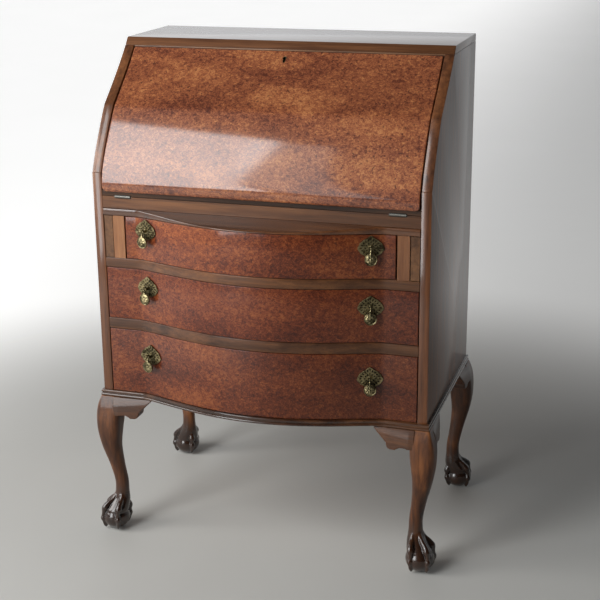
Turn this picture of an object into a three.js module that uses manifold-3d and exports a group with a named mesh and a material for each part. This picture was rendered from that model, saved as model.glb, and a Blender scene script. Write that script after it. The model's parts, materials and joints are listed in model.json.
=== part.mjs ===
// Serpentine-fronted bureau (fall-front writing desk) on cabriole legs.
// Millimetres, +Z up, front towards -Y, origin at the middle of the base of its bounding box.
import * as THREE from 'three';
import { mergeVertices } from 'three/addons/utils/BufferGeometryUtils.js';
import Module from 'manifold-3d';

const wasm = await Module();
wasm.setup();

// ---------------------------------------------------------------- driving dimensions
const gap = 0.3;                    // left between pieces that meet
const slideGap = 1.0;               // round a drawer front or a loper

const caseWidth = 710;
const caseDepth = 426;
const sideThickness = 20;
const topThickness = 16;
const backThickness = 6;
const backRebate = 2;

const legHeight = 316;
const baseHeight = 13;
const baseProud = 6;                // how far the base moulding stands out from the case
const baseArm = 30;                 // width of the base frame's members

const bottomOpening = 142;          // heights of the drawer openings and of the rails
const lowerRailHeight = 23;
const middleOpening = 112;
const upperRailHeight = 20.5;
const topOpening = 91;
const bowRailHeight = 15.5;
const hingeRailHeight = 25;
const hingeRailDepth = 22;
const bedThickness = 16;
const railDepth = 60;               // how far the drawer rails reach back
const runnerUnderTop = 27;          // upper runners, inward of the loper guides
const lowerRunnerWidth = 35;
const bowRailFall = 0.233;          // slope of the weathered top of the bow rail

const bowDepth = 57;                // serpentine front: depth, half width and fullness
const bowHalfWidth = 262;
const bowFullness = 1.3;

const ledgeRise = 48;               // side edge: ledge above the writing surface
const ledgeStep = 2;
const deskRise = 300;               // writing surface to the top of the case
const topSetBack = 205;             // front edge of the top, back from the posts

const fallEdge = 9.6;               // thickness of the fall along its top edge
const fallLining = 6;
const fallSideGap = 0.5;
const fallCornerRadius = 11;
const fallLipRise = 9.6;            // underside of the fall's lip above the writing surface
const fallBelly = 5;                // how far the lip stands out beyond the posts

const hingePinBack = 0.5;           // pin behind the faces of the posts
const hingeInset = 289;             // middle of each hinge from the middle of the desk
const hingeLength = 34;
const hingeLeafDepth = 24;
const hingeLeafThickness = 1.8;
const knuckleRadius = 3.4;
const pinRadius = 1.3;

const loperWidth = 18;
const loperLength = 330;
const guideWidth = 25;
const loperChannel = 21;
const guideLength = 400;

const frontThickness = 20;
const boxWall = 10;
const boxBottom = 6;
const boxBackInset = 23;            // back of each drawer box from the back panel
const boxTopDrop = 8;

const legSetInX = 10;               // middle of each foot, in from the case's side and front
const legSetInY = 3;
const earReach = 100;
const earThickness = 22;
const earProud = 3;                 // face of an ear beyond the face of the case

const pullOffset = 238;             // middle of each pull from the middle of the desk
const pullRise = 20;                // middle of each pull above the middle of its drawer
const pullWidth = 50;
const pullHeight = 42;
const pullThickness = 1.6;
const dropPivotOut = 12;
const dropLength = 22;
const dropRadius = 13;
const dropThickness = 9;
const dropEyeRadius = 3;
const dropNeck = 3.4;
const lugThickness = 2;
const lugSpacing = 4.4;             // clear space between the lugs that hold a drop's eye
const pullPinRadius = 1.1;

const lockOffset = 6;               // lock from the middle of the fall
const lockWidth = 60;
const lockHeight = 40;
const lockThickness = 5.2;
const boltWidth = 20;
const boltThickness = 2.6;
const boltLength = 18;

const pigeonFront = 240;            // front of the pigeonholes, back from the posts
const pigeonHeight = 232;
const pigeonShelfRise = 70;
const pigeonBoard = 7;
const pigeonColumns = 5;

// ---------------------------------------------------------------- levels and places
const baseTop = legHeight + baseHeight;
const lowerRailBottom = baseTop + bottomOpening;
const lowerRailTop = lowerRailBottom + lowerRailHeight;
const upperRailBottom = lowerRailTop + middleOpening;
const upperRailTop = upperRailBottom + upperRailHeight;
const bowRailBottom = upperRailTop + topOpening;
const bowRailTop = bowRailBottom + bowRailHeight;
const writingHeight = bowRailTop + hingeRailHeight;
const caseHeight = writingHeight + deskRise;
const topUnder = caseHeight - topThickness;

const halfWidth = caseWidth / 2;
const insideHalf = halfWidth - sideThickness;
const backFace = caseDepth - backRebate - backThickness;
const guideOuter = insideHalf - loperChannel;
const guideInner = guideOuter - guideWidth;

// ---------------------------------------------------------------- materials
function finish(color, roughness, metalness = 0) {
  return new THREE.MeshStandardMaterial({ color, roughness, metalness });
}
const burrWalnut = finish(0x7a3f24, 0.3);
const walnut = finish(0x5f4030, 0.35);
const paleWalnut = finish(0xa8743e, 0.4);
const legWalnut = finish(0x4a2d1e, 0.35);
const mahogany = finish(0x6b4a33, 0.6);
const plywood = finish(0xa98458, 0.7);
const leather = finish(0x3d2a1c, 0.6);
const agedBrass = finish(0x8a7a46, 0.45, 0.9);
const steel = finish(0x8d8d8a, 0.4, 0.9);

// ---------------------------------------------------------------- solids
const desk = new THREE.Group();

function toSolid(geometry) {
  const bare = new THREE.BufferGeometry();
  bare.setAttribute('position', geometry.getAttribute('position').clone());
  if (geometry.index) bare.setIndex(geometry.index.clone());
  const merged = mergeVertices(bare, 1e-4);
  const corners = merged.index.array;
  const kept = [];
  for (let i = 0; i < corners.length; i += 3) {
    const [a, b, c] = [corners[i], corners[i + 1], corners[i + 2]];
    if (a !== b && b !== c && c !== a) kept.push(a, b, c);
  }
  return new wasm.Manifold(new wasm.Mesh({
    numProp: 3,
    vertProperties: new Float32Array(merged.getAttribute('position').array),
    triVerts: new Uint32Array(kept),
  }));
}

function toGeometry(solid) {
  const mesh = solid.getMesh();
  const geometry = new THREE.BufferGeometry();
  geometry.setAttribute('position', new THREE.BufferAttribute(mesh.vertProperties, 3));
  geometry.setIndex(new THREE.BufferAttribute(mesh.triVerts, 1));
  const flat = geometry.toNonIndexed();
  flat.computeVertexNormals();
  return flat;
}

function join(...geometries) {
  return toGeometry(geometries.map(toSolid).reduce((whole, next) => whole.add(next)));
}

function cut(geometry, ...tools) {
  return toGeometry(tools.map(toSolid).reduce((whole, tool) => whole.subtract(tool), toSolid(geometry)));
}

function overlapOf(first, second) {
  return toGeometry(toSolid(first).intersect(toSolid(second)));
}

function add(name, geometry, material, parent = desk) {
  const mesh = new THREE.Mesh(geometry, material);
  mesh.name = name;
  parent.add(mesh);
  return mesh;
}

function block(x0, x1, y0, y1, z0, z1) {
  const geometry = new THREE.BoxGeometry(x1 - x0, y1 - y0, z1 - z0);
  geometry.translate((x0 + x1) / 2, (y0 + y1) / 2, (z0 + z1) / 2);
  return geometry;
}

function shapeOf(points) {
  return new THREE.Shape(points.map(([a, b]) => new THREE.Vector2(a, b)));
}

function extrude(shape, depth) {
  return new THREE.ExtrudeGeometry(shape, { depth, bevelEnabled: false, steps: 1, curveSegments: 8 });
}

// An outline in plan, raised from z0 to z1.
function raise(points, z0, z1) {
  const geometry = extrude(shapeOf(points), z1 - z0);
  geometry.translate(0, 0, z0);
  return geometry;
}

// An outline seen from the side (back, up), run across from x0 to x1.
const acrossBasis = new THREE.Matrix4().makeBasis(
  new THREE.Vector3(0, 1, 0), new THREE.Vector3(0, 0, 1), new THREE.Vector3(1, 0, 0));
function runAcross(points, x0, x1) {
  const geometry = extrude(shapeOf(points), x1 - x0);
  geometry.applyMatrix4(acrossBasis);
  geometry.translate(x0, 0, 0);
  return geometry;
}

// An outline seen from the front (across, up), run back from y0 to y1.
const backBasis = new THREE.Matrix4().makeBasis(
  new THREE.Vector3(1, 0, 0), new THREE.Vector3(0, 0, 1), new THREE.Vector3(0, -1, 0));
function runBack(shape, y0, y1) {
  const geometry = extrude(shape, y1 - y0);
  geometry.applyMatrix4(backBasis);
  geometry.translate(0, y1, 0);
  return geometry;
}

function rod(radius, x0, x1, sides = 12) {
  const geometry = new THREE.CylinderGeometry(radius, radius, x1 - x0, sides);
  geometry.rotateZ(Math.PI / 2);
  geometry.translate((x0 + x1) / 2, 0, 0);
  return geometry;
}

function bezier(a, b, c, d, steps = 10) {
  const ends = [a, b, c, d].map(([u, v]) => new THREE.Vector2(u, v));
  return new THREE.CubicBezierCurve(...ends).getPoints(steps).map((p) => [p.x, p.y]);
}

// ---------------------------------------------------------------- serpentine front
function bow(x, proud = 0) {
  const fullness = Math.max(0, 1 - (x / bowHalfWidth) ** 2);
  return -proud - bowDepth * fullness ** bowFullness;
}

// The front from -half to +half, standing out by proud (negative for a line behind it).
const bowSteps = 20;
function bowLine(half, proud = 0) {
  const reach = Math.min(half, bowHalfWidth);
  const line = [];
  if (half > bowHalfWidth) line.push([-half, -proud]);
  for (let i = 0; i <= bowSteps; i++) {
    const x = -reach + (2 * reach * i) / bowSteps;
    line.push([x, bow(x, proud)]);
  }
  if (half > bowHalfWidth) line.push([half, -proud]);
  return line;
}

function bowBoard(half, backY, z0, z1, proud = 0) {
  return raise([...bowLine(half, proud), [half, backY], [-half, backY]], z0, z1);
}

// ---------------------------------------------------------------- case: sides, top, back, bottom
const bendPoint = [75, 177];
const crownPoint = [191.5, deskRise - topThickness];

function sideOutline() {
  const ledge = [ledgeStep, ledgeRise];
  const lower = bezier(ledge, [10, 78], [58, 154], bendPoint);
  const upper = bezier(bendPoint, [108, 205], [154, 243], crownPoint);
  const curve = [...lower, ...upper.slice(1)].map(([y, z]) => [y, z + writingHeight]);
  curve[curve.length - 1][1] -= gap;
  return [
    [0, baseTop + gap],
    [0, writingHeight + ledgeRise],
    ...curve,
    [caseDepth, topUnder - gap],
    [caseDepth, baseTop + gap],
  ];
}
add('side_left', runAcross(sideOutline(), -halfWidth, -insideHalf), walnut);
add('side_right', runAcross(sideOutline(), insideHalf, halfWidth), walnut);

const topOutline = [
  [crownPoint[0], topUnder],
  [topSetBack, caseHeight],
  [caseDepth, caseHeight],
  [caseDepth, topUnder],
];
add('top_board', runAcross(topOutline, -halfWidth, halfWidth), walnut);

const inner = insideHalf - gap;
add('back_panel', block(-inner, inner, backFace, backFace + backThickness,
  baseTop + gap, topUnder - gap), plywood);

const frameInner = halfWidth - baseArm;
add('bottom_board', block(-frameInner + gap, frameInner - gap, baseArm + gap, caseDepth,
  legHeight + gap, baseTop), plywood);

// ---------------------------------------------------------------- base moulding: two beads on a frame
function baseSlab(proud, z0, z1) {
  const outer = halfWidth + proud;
  const front = bowLine(bowHalfWidth, proud);
  return raise([
    [-outer, caseDepth], [-outer, -proud], ...front, [outer, -proud], [outer, caseDepth],
    [frameInner, caseDepth], [frameInner, baseArm], [-frameInner, baseArm], [-frameInner, caseDepth],
  ], z0, z1);
}
const beadHeight = 5.5;
const beadOverlap = 0.5;
add('base_moulding', join(
  baseSlab(baseProud, legHeight + gap, legHeight + beadHeight),
  baseSlab(baseProud - 2, legHeight + beadHeight - beadOverlap, baseTop - beadHeight + beadOverlap),
  baseSlab(baseProud - 1, baseTop - beadHeight, baseTop)), walnut);

// ---------------------------------------------------------------- rails, runners and loper guides
add('lower_drawer_rail', bowBoard(inner, railDepth, lowerRailBottom, lowerRailTop), walnut);
add('upper_drawer_rail', bowBoard(inner, railDepth, upperRailBottom, upperRailTop), walnut);

const weathering = runAcross([
  [0, bowRailTop],
  [-2 * bowDepth, bowRailTop - 2 * bowDepth * bowRailFall],
  [-2 * bowDepth, bowRailTop + bowDepth],
  [0, bowRailTop + bowDepth],
], -halfWidth, halfWidth);
add('bow_top_rail', cut(bowBoard(inner, railDepth, bowRailBottom, bowRailTop, 2), weathering), walnut);

const upperRunnerWidth = loperChannel + guideWidth + runnerUnderTop;
for (const [side, sign] of [['left', -1], ['right', 1]]) {
  const runner = (width, z0, z1) => {
    const edges = [sign * (inner - width), sign * inner].sort((a, b) => a - b);
    return block(edges[0], edges[1], railDepth + gap, backFace - gap, z0, z1);
  };
  add(`upper_runner_${side}`, runner(upperRunnerWidth, upperRailBottom, upperRailTop), mahogany);
  add(`lower_runner_${side}`, runner(lowerRunnerWidth, lowerRailBottom, lowerRailTop), mahogany);
  const guide = [sign * guideInner, sign * guideOuter].sort((a, b) => a - b);
  add(`loper_guide_${side}`, block(guide[0], guide[1], 0, guideLength,
    upperRailTop + gap, bowRailBottom - gap), paleWalnut);
}

// ---------------------------------------------------------------- the fall's shape
// The inner face of the fall is flat and passes through the hinge pin, so it lies level when open.
const lipPoint = [-fallBelly, 28];
const waistPoint = [bendPoint[0] + 1.2, bendPoint[1] - 1.2];
const fallTopPoint = [crownPoint[0] - 1.2, crownPoint[1] - 1.3];
const crownBack = fallTopPoint[0] - hingePinBack;
const fallLean = Math.asin(fallEdge / Math.hypot(crownBack, fallTopPoint[1]))
  + Math.atan2(crownBack, fallTopPoint[1]);
const along = [Math.sin(fallLean), Math.cos(fallLean)];
const outward = [-Math.cos(fallLean), Math.sin(fallLean)];
const fallLength = crownBack * along[0] + fallTopPoint[1] * along[1];

// A point of the fall at distance s up from the pin and t out from its inner face.
function onFall(s, t) {
  return [
    hingePinBack + s * along[0] + t * outward[0],
    writingHeight + s * along[1] + t * outward[1],
  ];
}

const lipUnder = [hingePinBack - 1, fallLipRise];  // where the lip turns in above the pin
const fallOuter = [
  ...bezier(lipUnder, [-3, fallLipRise], [-fallBelly, 15], lipPoint, 5),
  ...bezier(lipPoint, [-fallBelly, 64], [59, 153], waistPoint).slice(1),
  ...bezier(waistPoint, [109, 203.8], [155, 241.8], fallTopPoint).slice(1),
];
const fallDeepest = Math.max(...fallOuter.map(([y, z]) => (y - hingePinBack) * outward[0] + z * outward[1]));

// ---------------------------------------------------------------- hinges
const hingeSpan = hingeLength / 2;
const knuckleThird = hingeLength / 6;
function hingePocket(center) {
  const pocket = rod(knuckleRadius + gap + 0.2, center - hingeSpan - gap, center + hingeSpan + gap, 16);
  pocket.translate(0, hingePinBack, writingHeight);
  return pocket;
}
function leafPocket(center) {
  return block(center - hingeSpan - gap, center + hingeSpan + gap,
    -fallBelly, hingePinBack + hingeLeafDepth + gap,
    writingHeight - hingeLeafThickness - gap, writingHeight + knuckleRadius);
}

function railLeaf() {
  const leaf = block(-hingeSpan, hingeSpan, 0, hingeLeafDepth, -hingeLeafThickness, 0);
  const clear = rod(knuckleRadius + gap, -knuckleThird - gap, knuckleThird + gap);
  return join(
    cut(join(leaf, rod(knuckleRadius, -hingeSpan, hingeSpan)), clear),
    rod(pinRadius, -hingeSpan, hingeSpan, 8));
}

function fallLeaf() {
  const leaf = block(-hingeSpan, hingeSpan, -hingeLeafThickness, 0, 0, hingeLeafDepth);
  const outerKnuckles = [-1, 1].map((sign) => {
    const ends = [sign * knuckleThird, sign * (hingeSpan + gap)].sort((a, b) => a - b);
    return rod(knuckleRadius + gap, ends[0], ends[1]);
  });
  return cut(join(leaf, rod(knuckleRadius, -knuckleThird, knuckleThird)),
    ...outerKnuckles, rod(pinRadius + gap, -hingeLength, hingeLength, 8));
}

const hingeCenters = { left: -hingeInset, right: hingeInset };
for (const [side, center] of Object.entries(hingeCenters)) {
  const knuckles = new THREE.Group();
  knuckles.position.set(center, hingePinBack, writingHeight);
  desk.add(knuckles);
  add(`hinge_rail_leaf_${side}`, railLeaf(), agedBrass, knuckles);
  const fallLeafMesh = add(`hinge_fall_leaf_${side}`, fallLeaf(), agedBrass, knuckles);
  fallLeafMesh.rotation.x = -fallLean;
}

const railPockets = Object.values(hingeCenters).flatMap((x) => [hingePocket(x), leafPocket(x)]);
add('hinge_rail', cut(block(-inner, inner, 0, hingeRailDepth, bowRailTop + gap, writingHeight),
  ...railPockets), walnut);
add('writing_bed', cut(block(-inner, inner, hingeRailDepth + gap, backFace - gap,
  writingHeight - bedThickness, writingHeight), ...railPockets), walnut);

// ---------------------------------------------------------------- fall: shell, lining, leather
const fallHalf = insideHalf - fallSideGap;

// A block on the fall: across, out from the inner face and up from the pin.
function fallBlock(x0, x1, t0, t1, s0, s1) {
  const corners = [onFall(s0, t0), onFall(s0, t1), onFall(s1, t1), onFall(s1, t0)];
  return runAcross(corners, x0, x1);
}

const keyholeRise = 318;
const keyholePlate = { width: 8, height: 16, depth: 3, proud: 0.8 };
const keySlotSize = { width: 3.5, height: 10 };
const keyReach = 9;                 // cutters start this far outside the fall
function keyholeShape(width, height) {
  const shape = new THREE.Shape();
  const straight = height - width;
  shape.moveTo(width / 2, -straight / 2);
  shape.lineTo(width / 2, straight / 2);
  shape.absarc(0, straight / 2, width / 2, 0, Math.PI, false);
  shape.lineTo(-width / 2, -straight / 2);
  shape.absarc(0, -straight / 2, width / 2, Math.PI, 2 * Math.PI, false);
  return shape;
}

const shellOutline = [
  ...fallOuter.map(([y, z]) => [y, z + writingHeight]),
  onFall(fallLength, fallLining + gap),
];
const fallFront = (() => {
  const shape = new THREE.Shape();
  const low = writingHeight;
  const high = caseHeight;
  const r = fallCornerRadius;
  const lip = writingHeight + fallLipRise;
  shape.moveTo(-fallHalf, high);
  shape.lineTo(-fallHalf, lip + r);
  shape.absarc(-fallHalf + r, lip + r, r, Math.PI, 1.5 * Math.PI, false);
  shape.lineTo(-fallHalf + r, low);
  shape.lineTo(fallHalf - r, low);
  shape.lineTo(fallHalf - r, lip);
  shape.absarc(fallHalf - r, lip + r, r, 1.5 * Math.PI, 2 * Math.PI, false);
  shape.lineTo(fallHalf, high);
  return shape;
})();

function atKeyhole(geometry) {
  geometry.rotateX(-fallLean);
  const [y, z] = onFall(keyholeRise, 0);
  geometry.translate(lockOffset, y, z);
  return geometry;
}
const keyholeSurface = 12.6;        // outside of the fall above its inner face at the keyhole
const platePocket = atKeyhole(runBack(keyholeShape(keyholePlate.width + 2 * gap,
  keyholePlate.height + 2 * gap), -keyholeSurface - keyReach, -keyholeSurface + keyholePlate.depth));
const keySlot = atKeyhole(runBack(keyholeShape(keySlotSize.width, keySlotSize.height),
  -keyholeSurface - keyReach, -lockThickness));

add('fall_shell', cut(
  overlapOf(runAcross(shellOutline, -fallHalf, fallHalf), runBack(fallFront, -40, caseDepth)),
  platePocket, keySlot), burrWalnut);

add('keyhole_plate', cut(
  atKeyhole(runBack(keyholeShape(keyholePlate.width, keyholePlate.height),
    -keyholeSurface - keyholePlate.proud, -keyholeSurface + keyholePlate.depth - gap)),
  keySlot), agedBrass);

const liningFoot = 1;
const liningOutline = [
  [gap, writingHeight + liningFoot],
  [gap, writingHeight + fallLipRise - gap],
  onFall((fallLipRise - gap) / along[1], fallLining),
  onFall(fallLength, fallLining),
  onFall(fallLength, 0),
  onFall(liningFoot / along[1], 0),
];
const leatherPlace = { half: 262, low: 42, high: 286, thickness: 0.8 };
const leatherRecess = fallBlock(-leatherPlace.half - gap, leatherPlace.half + gap,
  -1, leatherPlace.thickness + gap, leatherPlace.low - gap, leatherPlace.high + gap);
const fallLeafPockets = Object.values(hingeCenters).flatMap((x) => [
  hingePocket(x),
  fallBlock(x - hingeSpan - gap, x + hingeSpan + gap, -knuckleRadius, hingeLeafThickness + gap,
    -knuckleRadius, hingeLeafDepth + gap),
]);
const lockLow = fallLength - lockHeight;
const lockPocket = fallBlock(lockOffset - lockWidth / 2 - gap, lockOffset + lockWidth / 2 + gap,
  -1, lockThickness + gap, lockLow - gap, fallLength + 2);
add('fall_lining', cut(runAcross(liningOutline, -fallHalf, fallHalf),
  leatherRecess, lockPocket, ...fallLeafPockets, keySlot), walnut);
add('writing_leather', fallBlock(-leatherPlace.half, leatherPlace.half,
  0, leatherPlace.thickness, leatherPlace.low, leatherPlace.high), leather);

// ---------------------------------------------------------------- lock: case, bolt, strike, head rail
const boltBase = 1.2;               // bolt from the inner face of the fall
const boltRecess = fallBlock(lockOffset - boltWidth / 2 - gap, lockOffset + boltWidth / 2 + gap,
  boltBase - gap, boltBase + boltThickness + gap, fallLength - boltLength - 2 * gap, fallLength + 2);
add('lock_case', cut(fallBlock(lockOffset - lockWidth / 2, lockOffset + lockWidth / 2,
  0, lockThickness, lockLow, fallLength), boltRecess), agedBrass);
add('lock_bolt', fallBlock(lockOffset - boltWidth / 2, lockOffset + boltWidth / 2,
  boltBase, boltBase + boltThickness, fallLength - boltLength - gap, fallLength - gap), steel);

const headGap = 0.8;
const headDepth = 26;
const headDrop = 24;
const strikeThickness = 1.2;
const strikeHalf = 18;
const strikeSlot = fallBlock(lockOffset - boltWidth / 2 - 1, lockOffset + boltWidth / 2 + 1,
  boltBase - 0.8, boltBase + boltThickness + 0.8, fallLength, fallLength + 12);
const headOutline = [
  [onFall(fallLength + headGap, fallEdge - 3)[0], topUnder - gap],
  onFall(fallLength + headGap, fallEdge - 3),
  onFall(fallLength + headGap, -headGap),
  onFall(fallLength - headDrop, -headGap),
  [onFall(fallLength, -headDepth)[0], onFall(fallLength - headDrop, -headGap)[1]],
  [onFall(fallLength, -headDepth)[0], topUnder - gap],
];
const strikePocket = fallBlock(lockOffset - strikeHalf - gap, lockOffset + strikeHalf + gap,
  -headGap + 0.6, fallEdge - 3, fallLength, fallLength + headGap + strikeThickness + gap);
add('head_rail', cut(runAcross(headOutline, -inner, inner), strikePocket, strikeSlot), walnut);
add('strike_plate', cut(fallBlock(lockOffset - strikeHalf, lockOffset + strikeHalf,
  gap, fallEdge - 3.6, fallLength + headGap, fallLength + headGap + strikeThickness), strikeSlot), agedBrass);

// ---------------------------------------------------------------- lopers
const loperTop = Math.min(bowRailBottom - slideGap, writingHeight - fallDeepest - gap);
for (const [side, sign] of [['left', -1], ['right', 1]]) {
  const middle = sign * (guideOuter + insideHalf) / 2;
  add(`loper_${side}`, block(middle - loperWidth / 2, middle + loperWidth / 2,
    slideGap, slideGap + loperLength, upperRailTop + slideGap, loperTop), walnut);
}

// ---------------------------------------------------------------- pigeonholes
function pigeonholes() {
  const half = inner - gap;
  const low = writingHeight + gap;
  const high = low + pigeonHeight;
  const back = backFace - gap;
  const boards = [
    block(-half, half, pigeonFront, back, low, low + pigeonBoard),
    block(-half, half, pigeonFront, back, high - pigeonBoard, high),
    block(-half, half, pigeonFront, back, low + pigeonShelfRise, low + pigeonShelfRise + pigeonBoard),
    block(-half, -half + pigeonBoard, pigeonFront, back, low, high),
    block(half - pigeonBoard, half, pigeonFront, back, low, high),
    block(-pigeonBoard / 2, pigeonBoard / 2, pigeonFront, back, low, low + pigeonShelfRise + pigeonBoard),
  ];
  for (let i = 1; i < pigeonColumns; i++) {
    const x = -half + pigeonBoard / 2 + ((2 * half - pigeonBoard) * i) / pigeonColumns;
    boards.push(block(x - pigeonBoard / 2, x + pigeonBoard / 2, pigeonFront + 12, back,
      low + pigeonShelfRise, high));
  }
  return join(...boards);
}
add('pigeonhole_unit', pigeonholes(), walnut);

// ---------------------------------------------------------------- cabriole legs and their ears
// Rings of the leg: height as a share of the leg, distance out along the diagonal, radius.
const legRings = [
  [0, 0, 20], [0.02, 0, 27], [0.07, 0, 33], [0.127, -2, 32.5], [0.165, -8, 27], [0.209, -15, 19],
  [0.266, -19, 14], [0.348, -19.6, 11.8], [0.475, -14.5, 14], [0.617, -4, 18.8], [0.728, 2, 23.5],
  [0.816, 5, 28], [0.886, 2, 30], [0.949, -9, 28], [1, -22.6, 24],
];
const legSides = 12;

function legGeometry(swell = 0) {
  const position = [];
  const index = [];
  for (const [share, out, radius] of legRings) {
    const z = share * (legHeight - gap) + (swell ? (share - 0.5) * 2 * swell : 0);
    for (let i = 0; i < legSides; i++) {
      const angle = (2 * Math.PI * (i + 0.5)) / legSides;
      position.push(out + (radius + swell) * Math.cos(angle), (radius + swell) * Math.sin(angle), z);
    }
  }
  for (let ring = 0; ring + 1 < legRings.length; ring++) {
    for (let i = 0; i < legSides; i++) {
      const a = ring * legSides + i;
      const b = ring * legSides + ((i + 1) % legSides);
      index.push(a, b, b + legSides, a, b + legSides, a + legSides);
    }
  }
  const last = (legRings.length - 1) * legSides;
  for (let i = 1; i + 1 < legSides; i++) {
    index.push(0, i + 1, i);
    index.push(last, last + i, last + i + 1);
  }
  const geometry = new THREE.BufferGeometry();
  geometry.setAttribute('position', new THREE.Float32BufferAttribute(position, 3));
  geometry.setIndex(index);
  return geometry;
}

// An ear: reach across from the leg, drop down from the base.
const earOutline = [
  [20, 0], [earReach, 0],
  ...bezier([earReach, -3], [earReach - 8, -14], [earReach - 16, -18], [earReach - 24, -28], 4),
  ...bezier([earReach - 27, -42], [earReach - 34, -49], [54, -44], [42, -56], 4),
  [20, -56],
];

const footX = halfWidth - legSetInX;
const corners = [
  { name: 'front_left', x: -footX, y: legSetInY, turn: -0.75 * Math.PI, ears: ['front', 'side'] },
  { name: 'front_right', x: footX, y: legSetInY, turn: -0.25 * Math.PI, ears: ['front', 'side'] },
  { name: 'back_left', x: -footX, y: caseDepth - legSetInY, turn: 0.75 * Math.PI, ears: ['side'] },
  { name: 'back_right', x: footX, y: caseDepth - legSetInY, turn: 0.25 * Math.PI, ears: ['side'] },
];
for (const { name, x, y, turn, ears } of corners) {
  const leg = add(`leg_${name}`, legGeometry(), legWalnut);
  leg.rotation.z = turn;
  leg.position.set(x, y, 0);
  const clear = legGeometry(gap);
  clear.rotateZ(turn);
  clear.translate(x, y, 0);
  const inX = -Math.sign(x);
  const inY = name.startsWith('front') ? 1 : -1;
  if (ears.includes('front')) {
    const shape = shapeOf(earOutline.map(([u, v]) => [x + inX * u, legHeight + v]));
    const ear = cut(runBack(shape, -earProud, earThickness - earProud), clear);
    add(`ear_${name}`, ear, legWalnut);
  }
  const shape = earOutline.map(([u, v]) => [y + inY * u, legHeight + v]);
  const earFace = halfWidth + earProud;
  const faces = [-inX * earFace, -inX * (earFace - earThickness)].sort((a, b) => a - b);
  add(`ear_side_${name}`, cut(runAcross(shape, faces[0], faces[1]), clear), legWalnut);
}

// ---------------------------------------------------------------- drawers with their pulls
function drawerFront(half, height) {
  const front = bowLine(half, 0);
  const back = bowLine(half, -frontThickness).reverse();
  return raise([...front, ...back], slideGap, height - slideGap);
}

function drawerBox(half, height) {
  const back = backFace - boxBackInset;
  const outer = half - slideGap;
  const low = slideGap / 2;
  const high = height - boxTopDrop;
  const startY = frontThickness + gap;
  const floorLine = bowLine(outer, -startY);
  return join(
    block(-outer, -outer + boxWall, startY, back, low, high),
    block(outer - boxWall, outer, startY, back, low, high),
    block(-outer, outer, back - boxWall, back, low, high),
    raise([...floorLine, [outer, back], [-outer, back]], low + 3, low + 3 + boxBottom));
}

function pullPlate() {
  const outline = [];
  const scallops = 16;
  for (let i = 0; i < scallops; i++) {
    const angle = (2 * Math.PI * i) / scallops;
    const reach = i % 4 === 0 ? 1 : 0.86;
    outline.push([reach * (pullWidth / 2) * Math.cos(angle), reach * (pullHeight / 2) * Math.sin(angle)]);
  }
  const plate = runBack(shapeOf(outline), -pullThickness, 0);
  const lugs = [-1, 1].map((sign) => {
    const near = lugSpacing / 2;
    const ends = [sign * near, sign * (near + lugThickness)].sort((a, b) => a - b);
    return block(ends[0], ends[1], -dropPivotOut - 2 * pullPinRadius, -pullThickness / 2,
      -dropEyeRadius, dropEyeRadius);
  });
  const pin = rod(pullPinRadius, -lugSpacing / 2 - 1, lugSpacing / 2 + 1, 8);
  pin.translate(0, -dropPivotOut, 0);
  return join(plate, ...lugs, pin);
}

// A round button hanging from an eye; its middle is straight below the pivot.
function pullDrop() {
  const half = dropThickness / 2;
  const rim = 1.2;
  const profile = [
    [0, -half], [dropRadius * 0.55, -half * 0.8], [dropRadius, -rim], [dropRadius, rim],
    [dropRadius * 0.55, half * 0.8], [0, half],
  ].map(([r, h]) => new THREE.Vector2(r, h));
  const button = new THREE.LatheGeometry(profile, 16);
  button.translate(0, 0, -dropLength);
  const eye = rod(dropEyeRadius, -dropNeck / 2, dropNeck / 2, 12);
  const neck = block(-dropNeck / 2, dropNeck / 2, -dropNeck / 2, dropNeck / 2,
    dropRadius - dropLength - 3, -dropEyeRadius / 2);
  return cut(join(button, eye, neck), rod(pullPinRadius + gap, -dropNeck, dropNeck, 12));
}

// A pull is square to the front where it sits, clear of the front's facets behind its plate.
const pullAngle = Math.atan2(
  bow(pullOffset + pullWidth / 2) - bow(pullOffset - pullWidth / 2), pullWidth);
const facetWidth = (2 * bowHalfWidth) / bowSteps;
const seatRise = Math.max(...bowLine(bowHalfWidth)
  .filter(([x]) => Math.abs(x - pullOffset) < pullWidth / 2 + facetWidth)
  .map(([x, y]) => (x - pullOffset) * Math.sin(pullAngle) - (y - bow(pullOffset)) * Math.cos(pullAngle)));
const pullStandoff = (seatRise + gap) / Math.cos(pullAngle);

const drawers = [
  { name: 'bottom', floor: baseTop, height: bottomOpening, half: insideHalf - slideGap },
  { name: 'middle', floor: lowerRailTop, height: middleOpening, half: insideHalf - slideGap },
  { name: 'top', floor: upperRailTop, height: topOpening, half: guideInner - slideGap },
];
for (const { name, floor, height, half } of drawers) {
  const drawer = new THREE.Group();
  drawer.position.z = floor;
  desk.add(drawer);
  add(`${name}_drawer_front`, drawerFront(half, height), burrWalnut, drawer);
  add(`${name}_drawer_box`, drawerBox(half, height), mahogany, drawer);
  for (const [side, sign] of [['left', -1], ['right', 1]]) {
    const pull = new THREE.Group();
    pull.position.set(sign * pullOffset, bow(pullOffset) - pullStandoff, height / 2 + pullRise);
    pull.rotation.z = sign * pullAngle;
    drawer.add(pull);
    add(`${name}_pull_plate_${side}`, pullPlate(), agedBrass, pull);
    const drop = add(`${name}_pull_drop_${side}`, pullDrop(), agedBrass, pull);
    drop.position.y = -dropPivotOut;
  }
}

// ---------------------------------------------------------------- origin
const extent = new THREE.Box3().setFromObject(desk, true);
desk.position.set(
  -(extent.min.x + extent.max.x) / 2,
  -(extent.min.y + extent.max.y) / 2,
  -extent.min.z);

export default desk;
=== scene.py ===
import json
import math
import bmesh
import bpy
import numpy as np
from mathutils import Matrix, Quaternion, Vector


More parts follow.
